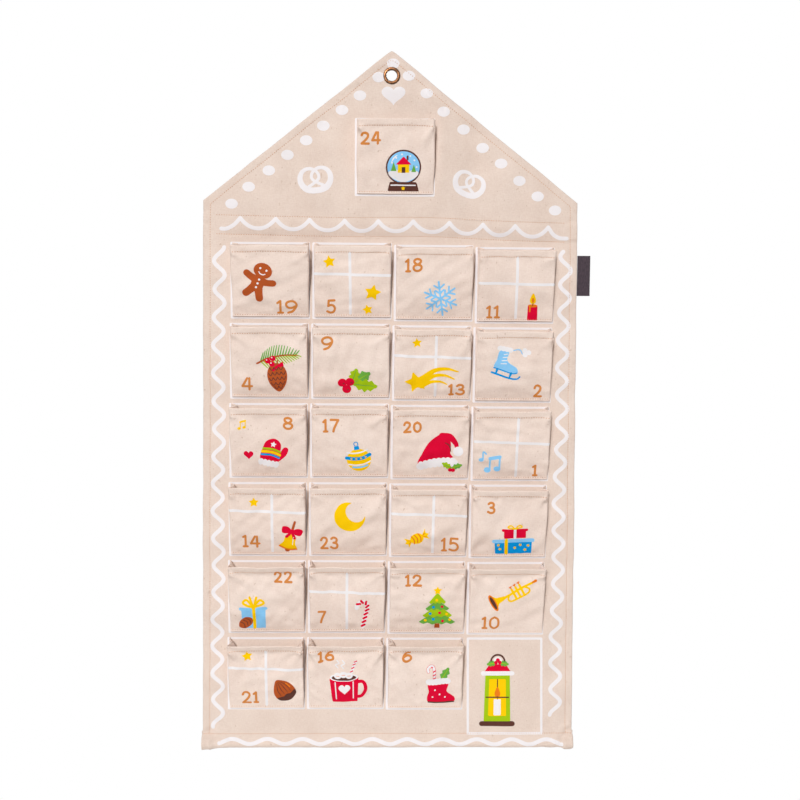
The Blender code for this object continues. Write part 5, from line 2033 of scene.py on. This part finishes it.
@dataclass
class PanelPrints:
    """The icing-like white print on the panel: waves, scallops, dots, a heart and pretzels."""

    panel: PanelCloth
    line: float = 4.9
    frame_line: float = 2.7
    frame_wide: float = 96.0
    frame_tall: float = 92.3
    scallop_drop: float = 12.3
    scallop_power: float = 2.2
    lift: float = 0.26 * MM

    def build(self, pockets: list["Pocket"]) -> None:
        """Draw each part of the print as a piece of its own."""
        parts = {
            "print_dots": self._dots,
            "print_heart": self._heart,
            "print_pretzels": self._pretzels,
            "print_scallops": self._scallops,
            "print_side_waves": self._side_waves,
            "print_foot_wave": self._foot_wave,
            "print_lantern": self._lantern,
        }
        for name, draw in parts.items():
            sketch = Sketch(self.panel.point, self.lift)
            draw(sketch)
            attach(sketch.build(name), "panel")
        sketch = Sketch(self.panel.point, self.lift)
        for pocket in pockets:
            self._outline(sketch, pocket)
        self._bare_field(sketch)
        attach(sketch.build("print_outlines"), "panel")

    def _dots(self, s: Sketch) -> None:
        """Ovals in two rows under the gable hems, and one over the eyelet."""
        left = [(-16, -2), (-39, -24), (-61, -42), (-84, -61), (-105, -79), (-128, -97), (-151, -116),
                (-176, -136), (-197, -157)]
        right = [(21, -0), (43, -21), (64, -43), (89, -64), (113, -86), (136, -105), (159, -126),
                 (182, -145), (204, -162)]
        s.dots([(1.6, 14.4), *left, *right], 7.3, 5.7, ICING)

    def _heart(self, s: Sketch) -> None:
        """A heart under the eyelet."""
        s.heart(2.2, -24.4, 28.5, 21.5, ICING)

    def _pretzels(self, s: Sketch) -> None:
        """Two knotted pretzels, the right one tipped."""
        half_loop = [(11.5, -9.0), (5.5, -6.0), (0.0, -2.6), (-3.9, 0.8), (-4.4, 5.6), (-1.5, 10.2),
                     (3.5, 13.4), (9.5, 13.8), (15.6, 10.6), (18.8, 3.6), (17.6, -4.2), (12.2, -10.6),
                     (5.4, -12.9), (0.0, -13.3)]
        widths = [3.8, 3.6, 3.7, 4.6, 6.6, 7.6, 7.4]
        for u, v, turn, size in ((-93.5, -126.7, 7.0, 1.0), (96.4, -131.0, -22.0, 0.95)):
            for side in (1.0, -1.0):
                s.at(u, v, turn, size)
                s.line([(side * p, q) for p, q in half_loop], widths, ICING, 0.4 + 0.3 * side)
            s.line([(-3.0, -13.3), (3.0, -13.3)], 7.2, ICING, 1.2)

    def _scallops(self, s: Sketch) -> None:
        """Icing scallops between the seams of the upper sleeve.

        Between two cusps the line falls as one less a power of the distance from the
        middle, so that it is round below and meets its neighbour in a point.
        """
        cusps = ((-186.4, -174.4), (-142.7, -175.0), (-100.8, -176.0), (-57.4, -177.0), (-15.6, -177.8),
                 (27.6, -178.6), (72.6, -179.8), (114.5, -180.8), (154.7, -181.8), (195.7, -183.0))
        share = np.linspace(-1.0, 1.0, 25)
        fall = self.scallop_drop * (1.0 - np.abs(share) ** self.scallop_power)
        for k, ((u0, v0), (u1, v1)) in enumerate(zip(cusps, cusps[1:])):
            u = u0 + (u1 - u0) * (share + 1) / 2
            swell = 0.6 * self.panel.sleeve_swell(u * MM) / MM
            v = v0 + (v1 - v0) * (share + 1) / 2 - fall + swell
            s.line(list(zip(u[::2], v[::2])), self.line, ICING, 0.4 * (k % 2))
        for end in ([(-209.7, -187.6), (-203.0, -187.4), (-194.0, -182.6), (-186.4, -174.4)],
                    [(195.7, -183.0), (202.0, -191.6), (210.0, -196.0), (219.1, -196.6)]):
            s.line(end, self.line, ICING, 0.8)

    def _side_waves(self, s: Sketch) -> None:
        """A wavy line down each border: a sine across a straight axis, with a slow drift of its phase."""
        rows = (((-212.8, -210.5), (-219.5, -823.5), 35.0, 1.75),
                ((217.9, -213.0), (215.2, -808.5), 34.67, 3.6))
        for (u0, v0), (u1, v1), period, phase in rows:
            run = np.linspace(0.0, 1.0, 230)
            v = v0 + (v1 - v0) * run
            swing = np.sin(TAU * (v0 - v) / period + phase) + 0.12 * np.sin(TAU * (v0 - v) / 181.0)
            u = u0 + (u1 - u0) * run + 6.5 * swing
            s.line(list(zip(u, v)), self.line + 0.2, ICING, 0)

    def _foot_wave(self, s: Sketch) -> None:
        """A low wave round the front of the foot's tunnel."""
        u = np.linspace(-217.0, 224.6, 190)
        v = -842.0 + 3.2 * np.cos(TAU * (u + 200.3) / 45.05) - 1.5 * (u + 231.0) / 460.0
        s.line(list(zip(u, v)), self.line + 0.2, ICING, 0)

    def _outline(self, s: Sketch, pocket: "Pocket") -> None:
        """A thin frame round a pocket's place."""
        left = pocket.middle / MM - 0.8 - self.frame_wide / 2
        foot = pocket.foot / MM - 1.5
        low, high = (left, foot), (left + self.frame_wide, foot + self.frame_tall)
        self._frame(s, [low, (high[0], low[1]), high, (low[0], high[1]), low], self.frame_line)

    def _bare_field(self, s: Sketch) -> None:
        """The frame of the place that has no pocket."""
        corners = [(101.9, -707.0), (196.6, -707.0), (198.9, -832.6), (103.4, -832.6), (101.9, -707.0)]
        self._frame(s, corners, 2.9)

    def _frame(self, s: Sketch, corners: list, width: float) -> None:
        """Straight strokes from corner to corner, the level ones above the upright ones."""
        for start, end in zip(corners, corners[1:]):
            level = abs(start[1] - end[1]) < 1.0
            s.line([start, end], width, ICING, 0.5 * level, False)

    def _lantern(self, s: Sketch) -> None:
        """A lantern with a candle in it, in the bare field."""
        s.at(141.0, -778.0, 0.0, 1.02)
        s.line(arc(0, 40.0, 8.5, -20, 200), 2.2, DARK, 0.4)
        s.block(17, 26, 9, 38, RED, 1, soft=2)
        s.line([(-18.5, 24.5), (18.5, 24.5)], 5.6, WHITE, 2)
        s.oval(0, 41.0, 5.2, 4.6, WHITE, 2)
        s.block(17, -38, 15.5, 22.5, LIME, 0.6)
        s.block(11.5, -31, 10.5, 17, YELLOW, 2, soft=2)
        s.block(4.6, -30, 4.4, -9, WHITE, 3)
        s.line([(0, -9), (0.2, -5.5)], 0.9, DARK, 4)
        s.shape([(0, 7), (3.4, -0.5), (2.8, -5.0), (0, -6.8), (-2.8, -5.0), (-3.4, -0.5)], ORANGE, 3)
        s.line([(-14.2, -6.5), (14.2, -6.5)], 1.6, DARK, 3.6).line([(0, 16.5), (0, -0.0)], 1.3, DARK, 2.6)
        s.line([(-19.5, -41), (19.5, -41)], 6.4, DARK, 1.4)
        for side in (-1, 1):
            leaf(s.at(141.0 + side * 1.5, -739.0, 90.0 - side * 100.0), 13.0, 7.6, 3, GREEN, LIME, 4)
        s.at(141.0, -778.0)
        s.dots(((-2.4, 39.2), (2.6, 39.4), (0.0, 42.6)), 2.5, 2.5, RED, 5.5)


@dataclass
class RodSleeve:
    """The strip sewn across the back at the eaves, raised over the upper rod."""

    panel: PanelCloth
    rod_radius: float = 4.0 * MM
    turn_in: float = 2.5 * MM
    length: float = 433.5 * MM

    def build(self) -> bpy.types.Object:
        """Make the strip: flat edges, a straight rise to the rod and an arc over it.

        The profile is read in the sleeve's own height and depth, and carried along
        the slanting line of the sleeve with a soft ripple where it isn't held.
        """
        panel = self.panel
        axis = CLOTH.hem + CLOTH.gap + self.rod_radius
        radius = self.rod_radius + CLOTH.gap + CLOTH.thickness
        base = CLOTH.thickness + CLOTH.gap + CLOTH.thickness
        half = panel.sleeve_seams / 2
        start = math.hypot(half, base - axis)
        first = math.atan2(half, base - axis) - math.acos(radius / start)
        turn = np.linspace(first, -first, 17)
        over = np.column_stack((axis + radius * np.cos(turn), radius * np.sin(turn)))
        over[:, 0] = np.minimum(over[:, 0], axis + radius - 0.25 * MM)
        flat = np.array([[-0.5, 0.1], [0.05, 0.04], [0.1, -0.6], [0.05, -1.6]]) * MM
        top = np.array([base, half + self.turn_in]) + flat
        seam_line = np.array([[base - 0.1 * MM, half]])
        rise = seam_line[0] + (over[0] - seam_line[0]) * np.linspace(0.2, 0.85, 4)[:, None]
        upper = np.vstack((top, seam_line, rise))
        profile = np.vstack((upper, over, upper[::-1] * np.array([1.0, -1.0])))
        run = run_along(profile)
        free = np.sin(math.pi * run / run[-1]) ** 2
        x = np.linspace(-self.length / 2, self.length / 2, 150)[:, None]
        drawn = ripple(x, profile[None, :, 1] * 0.4, 61, 16 * MM) * (0.12 + 0.1 * free[None])
        outer = self._lay(x, profile, drawn * MM)
        tangent = np.gradient(profile, axis=0)
        tangent /= np.linalg.norm(tangent, axis=1, keepdims=True)
        under = profile + np.column_stack((tangent[:, 1], -tangent[:, 0])) * CLOTH.thickness
        inner = self._lay(x, under, drawn * MM)
        strip = one_piece("rod_sleeve_strip", slab(outer, inner), CANVAS)
        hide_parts("eaves_sleeve")
        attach(strip, "panel")
        return strip

    def _lay(self, x: Array, profile: Array, drawn: Array) -> Array:
        """Put the profile behind the panel along the sleeve's slanting line."""
        flat_part = smooth_step(np.abs(profile[None, :, 1]), 6 * MM, 12 * MM)
        swell = 0.5 * self.panel.sleeve_swell(x) * flat_part
        height = self.panel.sleeve_height(x) + profile[None, :, 1] + swell
        places = np.broadcast_arrays(x, profile[None, :, 0] + np.minimum(drawn, 0.0), height)
        return np.stack(places, axis=-1)


@dataclass
class Rod:
    """A round wooden rod, with worn edges and a slightly uneven skin."""

    node: str
    body: str
    radius: float = 4.0 * MM
    ease: float = 0.6 * MM

    def build(self) -> bpy.types.Object:
        """Turn the rod: rings of 40 points along its axis, closing in over an arc at each end."""
        low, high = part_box(self.node)
        half = (high[0] - low[0]) / 2
        fall = (high[2] - low[2] - 2 * self.radius) / 2
        middle_z = (high[2] + low[2]) / 2
        middle_y = (high[1] + low[1]) / 2
        turn = np.linspace(0.0, math.pi / 2, 6)
        end_x = half - self.ease + self.ease * np.sin(turn)
        end_r = self.radius - self.ease + self.ease * np.cos(turn)
        body_x = np.linspace(-half + 2 * MM, half - 2 * MM, 120)
        x = np.concatenate((-end_x[::-1], body_x, end_x))[:, None]
        r = np.concatenate((end_r[::-1], np.full(len(body_x), self.radius), end_r))[:, None]
        angle = np.linspace(0.0, TAU, 40, endpoint=False)[None]
        skin = 0.04 * MM * ripple(0.2 * x, self.radius * angle, len(self.node), 6 * MM)
        r = r - np.abs(skin)
        slope = -fall * x / half
        y = middle_y + r * np.cos(angle)
        z = middle_z + slope + r * np.sin(angle)
        skin = tube(np.stack(np.broadcast_arrays(x, y, z), axis=-1))
        rod = one_piece(f"{self.node}_turned", skin, WOOD)
        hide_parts(self.node)
        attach(rod, self.body)
        return rod


@dataclass
class Eyelet:
    """The rolled metal eyelet and its washer on the back."""

    bore: float = 6.5 * MM
    wall: float = 0.4 * MM
    flange: float = 10.4 * MM
    dome: float = 1.2 * MM
    curl: float = 0.9 * MM
    washer: float = 0.6 * MM
    sides: int = 96

    def build(self) -> tuple[bpy.types.Object, bpy.types.Object]:
        """Spin the flange with its barrel, and the washer.

        The flange's section is an arch from the bore to its rim, flattened under it.
        The barrel runs through the cloth and its end is rolled over a half turn.
        """
        barrel = self.bore + self.wall
        washer_front = CLOTH.thickness + CLOTH.gap
        washer_back = washer_front + self.washer
        roll = washer_back + CLOTH.gap
        share = np.linspace(0.0, math.pi, 22)
        middle = (self.bore + self.flange) / 2
        reach = (self.flange - self.bore) / 2
        arch_r = middle - reach * np.cos(share)
        arch_y = -CLOTH.gap - self.wall * 0.6 - (self.dome - 0.2 * MM) * np.sin(share) ** 0.75
        under_r = np.array([self.flange - 0.15 * MM, barrel, barrel])
        under_y = np.array([-CLOTH.gap, -CLOTH.gap, roll])
        curl_r = np.array([barrel + self.curl, barrel + self.curl, barrel + 0.4 * MM])
        curl_y = np.array([roll + 0.02 * MM, roll + 0.45 * MM, roll + 0.8 * MM])
        end_r = np.array([barrel - 0.1 * MM, self.bore])
        end_y = np.array([roll + 0.75 * MM, roll + 0.35 * MM])
        radii = np.concatenate((arch_r, under_r, curl_r, end_r))
        depths = np.concatenate((arch_y, under_y, curl_y, end_y))
        pieces = []
        ring = np.array([
            [barrel + 0.3 * MM, washer_front],
            [barrel + 0.3 * MM, washer_back - 0.1 * MM],
            [barrel + 0.5 * MM, washer_back],
            [self.flange - 0.9 * MM, washer_back],
            [self.flange - 0.2 * MM, washer_back - 0.2 * MM],
            [self.flange, washer_front + 0.1 * MM],
            [self.flange - 0.1 * MM, washer_front],
        ])
        sections = {"eyelet_front": np.column_stack((radii, depths)), "eyelet_washer": ring}
        for node, section in sections.items():
            piece = one_piece(f"{node}_rolled", spun(section, self.sides), BRASS)
            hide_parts(node)
            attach(piece, "panel")
            pieces.append(piece)
        return pieces[0], pieces[1]


@dataclass
class SideLabel:
    """The bare woven label, folded over once and caught in the right side hem."""

    reach: float = 16.2 * MM
    height: float = 50.0 * MM
    thickness: float = 0.8 * MM
    tape: float = 0.37 * MM

    def build(self) -> bpy.types.Object:
        """Make a loop of tape: two leaves side by side, joined by a round fold at the free edge."""
        low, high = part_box("side_label")
        root, middle_z = low[0], (low[2] + high[2]) / 2
        middle_y = (low[1] + high[1]) / 2
        turn = np.linspace(math.pi / 2, -math.pi / 2, 9)
        z = np.linspace(-self.height / 2, self.height / 2, 40)[:, None]
        ease = 0.06 * MM * np.exp(-((self.height / 2 - np.abs(z)) / (0.3 * MM)))
        leaves = []
        for half, tip in ((self.thickness / 2, self.reach), (0.03 * MM, self.reach - self.tape)):
            straight = np.linspace(0.0, tip - half, 14)
            x = np.concatenate((straight, tip - half + half * np.cos(turn), straight[::-1]))[None]
            y = np.concatenate((np.full(14, half), half * np.sin(turn), np.full(14, -half)))[None]
            wave = 0.12 * MM * ripple(x, z, 71, 20 * MM) * smooth_step(x, 1 * MM, 8 * MM)
            depth = middle_y + wave + np.sign(y) * np.maximum(np.abs(y) - ease, 0.02 * MM)
            leaves.append(np.stack(np.broadcast_arrays(root + x, depth, middle_z + z), axis=-1))
        label = one_piece("woven_label", slab(*leaves), TAPE)
        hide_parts("side_label")
        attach(label, "label")
        return label


@dataclass(frozen=True)
class Lamp:
    """A square soft lamp: its place, power and side, its target and the full angle of its light."""

    place: tuple
    power: float
    size: float
    target: tuple = (0.0, 0.0, -0.42)
    spread: float = math.pi


LAMPS = {
    "key": Lamp((-1.15, -7.0, 1.9), 282.0, 0.22),
    "top": Lamp((-1.1, -5.5, 4.6), 160.0, 1.0),
    "fill": Lamp((-0.5, -3.2, 0.2), 11.0, 1.2),
    "overhead": Lamp((0.0, -1.1, 0.9), 1.5, 1.6, (0.0, -1.1, -1.18), math.radians(70.0)),
    "back": Lamp((0.9, 3.6, 0.9), 120.0, 1.4),
}


@dataclass
class Stage:
    """Pale floor, soft studio light and the camera at the photograph's view."""

    floor_drop: float = 1.55
    floor_reach: float = 1.6
    floor_back: float = 0.5
    floor_light: tuple = (247, 247, 246)
    floor_deep: tuple = (240, 240, 239)
    eye: tuple = (-22.8 * MM, -1500.0 * MM, -256.6 * MM)
    yaw: float = math.radians(1.357)
    pitch: float = math.radians(5.446)
    roll: float = math.radians(-0.388)
    lens: float = 53.89
    world_level: float = 0.1
    world_tint: tuple = (1.0, 0.72, 0.54)

    def build(self) -> None:
        """Set the floor, the lamps, the world and the camera."""
        self._floor()
        for name, lamp in LAMPS.items():
            self._hang(name, lamp)
        self._world()
        self._camera()

    def _floor(self) -> None:
        """Lay a finite pale floor below the camera's view."""
        reach = self.floor_reach
        across = np.linspace(-reach, reach, 9)
        x, y = np.meshgrid(across, np.linspace(-reach, self.floor_back, 9))
        outer = np.stack((x, y, np.full(x.shape, -self.floor_drop)), axis=-1)
        under = outer - np.array([0.0, 0.0, 20 * MM])
        points, faces = slab(outer, under)
        mesh = bpy.data.meshes.new("floor")
        mesh.from_pydata(points.tolist(), [], faces.tolist())
        material = bpy.data.materials.new("floor")
        material.use_nodes = True
        nodes = Nodes(material.node_tree)
        shader = material.node_tree.nodes["Principled BSDF"]
        place = nodes.add("ShaderNodeTexCoord").outputs["Object"]
        tone = nodes.ramp(nodes.noise(place, (3.0, 3.0, 3.0)), 0.2, 0.8)
        pale = nodes.mix(tone, linear(self.floor_deep), linear(self.floor_light))
        material.node_tree.links.new(pale, shader.inputs["Base Color"])
        shader.inputs["Roughness"].default_value = 0.9
        mesh.materials.append(material)
        floor = bpy.data.objects.new("floor", mesh)
        bpy.context.scene.collection.objects.link(floor)

    def _hang(self, name: str, lamp: Lamp) -> None:
        """Hang a lamp and turn it to its target.

        Args:
            name: The lamp's name.
            lamp: Its settings.
        """
        data = bpy.data.lights.new(name, "AREA")
        data.energy = lamp.power
        data.size = lamp.size
        data.spread = lamp.spread
        piece = bpy.data.objects.new(name, data)
        piece.location = lamp.place
        away = np.array(lamp.place) - np.array(lamp.target)
        pitch = math.atan2(math.hypot(away[0], away[1]), away[2])
        piece.rotation_euler = (pitch, 0.0, math.atan2(away[0], -away[1]))
        bpy.context.scene.collection.objects.link(piece)

    def _world(self) -> None:
        """Light all round at a plain level, and show white to the camera, gloss and glass."""
        world = bpy.data.worlds.new("studio")
        world.use_nodes = True
        bpy.context.scene.world = world
        nodes = Nodes(world.node_tree)
        ground = world.node_tree.nodes["Background"]
        path = nodes.add("ShaderNodeLightPath")
        seen = nodes.math("MAXIMUM", path.outputs["Is Camera Ray"], path.outputs["Is Glossy Ray"])
        seen = nodes.math("MAXIMUM", seen, path.outputs["Is Transmission Ray"])
        level = nodes.math("MULTIPLY_ADD", seen, 1.0 - self.world_level, self.world_level)
        world.node_tree.links.new(level, ground.inputs["Strength"])
        white = nodes.mix(seen, (*self.world_tint, 1.0), (1.0, 1.0, 1.0, 1.0))
        world.node_tree.links.new(white, ground.inputs["Color"])

    def _camera(self) -> None:
        """Place the camera: turned about the upright, tipped down and rolled, as in the photograph."""
        forward = np.array([math.sin(self.yaw), math.cos(self.yaw), 0.0])
        right = np.array([math.cos(self.yaw), -math.sin(self.yaw), 0.0])
        down = np.array([0.0, 0.0, -1.0])
        tipped = forward * math.cos(self.pitch) + down * math.sin(self.pitch)
        lowered = down * math.cos(self.pitch) - forward * math.sin(self.pitch)
        side = right * math.cos(self.roll) + lowered * math.sin(self.roll)
        below = lowered * math.cos(self.roll) - right * math.sin(self.roll)
        data = bpy.data.cameras.new("camera")
        data.lens = self.lens
        data.sensor_width = 36.0
        data.sensor_fit = "HORIZONTAL"
        camera = bpy.data.objects.new("camera", data)
        turn = np.column_stack((side, -below, -tipped))
        camera.matrix_world = Matrix.Translation(self.eye) @ Matrix(turn.tolist()).to_4x4()
        bpy.context.scene.collection.objects.link(camera)
        bpy.context.scene.camera = camera


ROW_NUMBERS = (
    (19, 5, 18, 11), (4, 9, 13, 2), (8, 17, 20, 1), (14, 23, 15, 3), (22, 7, 12, 10), (21, 16, 6), (24,)
)


def foot_folds(pockets: list[Pocket]) -> bpy.types.Object:
    """Make the turned foot edges of all pockets, which stay on the panel."""
    stack = MeshStack()
    for pocket in pockets:
        stack.add(*pocket.foot_fold(), POCKET_CANVAS_PAINTED_LIGHTER)
    piece = stack.build("pocket_foot_folds")
    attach(piece, "panel")
    return piece


def main() -> None:
    """Build the calendar's pieces in order, then the stage."""
    logging.basicConfig(level=logging.INFO, format="%(message)s")
    bpy.context.scene.view_settings.view_transform = "Standard"
    panel = PanelCloth()
    panel.build()
    panel.seams()
    RodSleeve(panel).build()
    Rod("eaves_rod", "upper_rod").build()
    Rod("foot_rod", "lower_rod").build()
    Eyelet().build()
    SideLabel().build()
    pockets = [Pocket(number, row) for row, numbers in enumerate(ROW_NUMBERS) for number in numbers]
    for pocket in pockets:
        pocket.front()
        pocket.seam_stitches()
        pocket.print()
        for side in (-1.0, 1.0):
            pocket.pleat_leg(side, True)
            pocket.pleat_leg(side, False)
    foot_folds(pockets)
    panel.hem_backs()
    panel.pocket_backs(pockets)
    PanelPrints(panel).build(pockets)
    Stage().build()


if __name__ == "__main__":
    main()
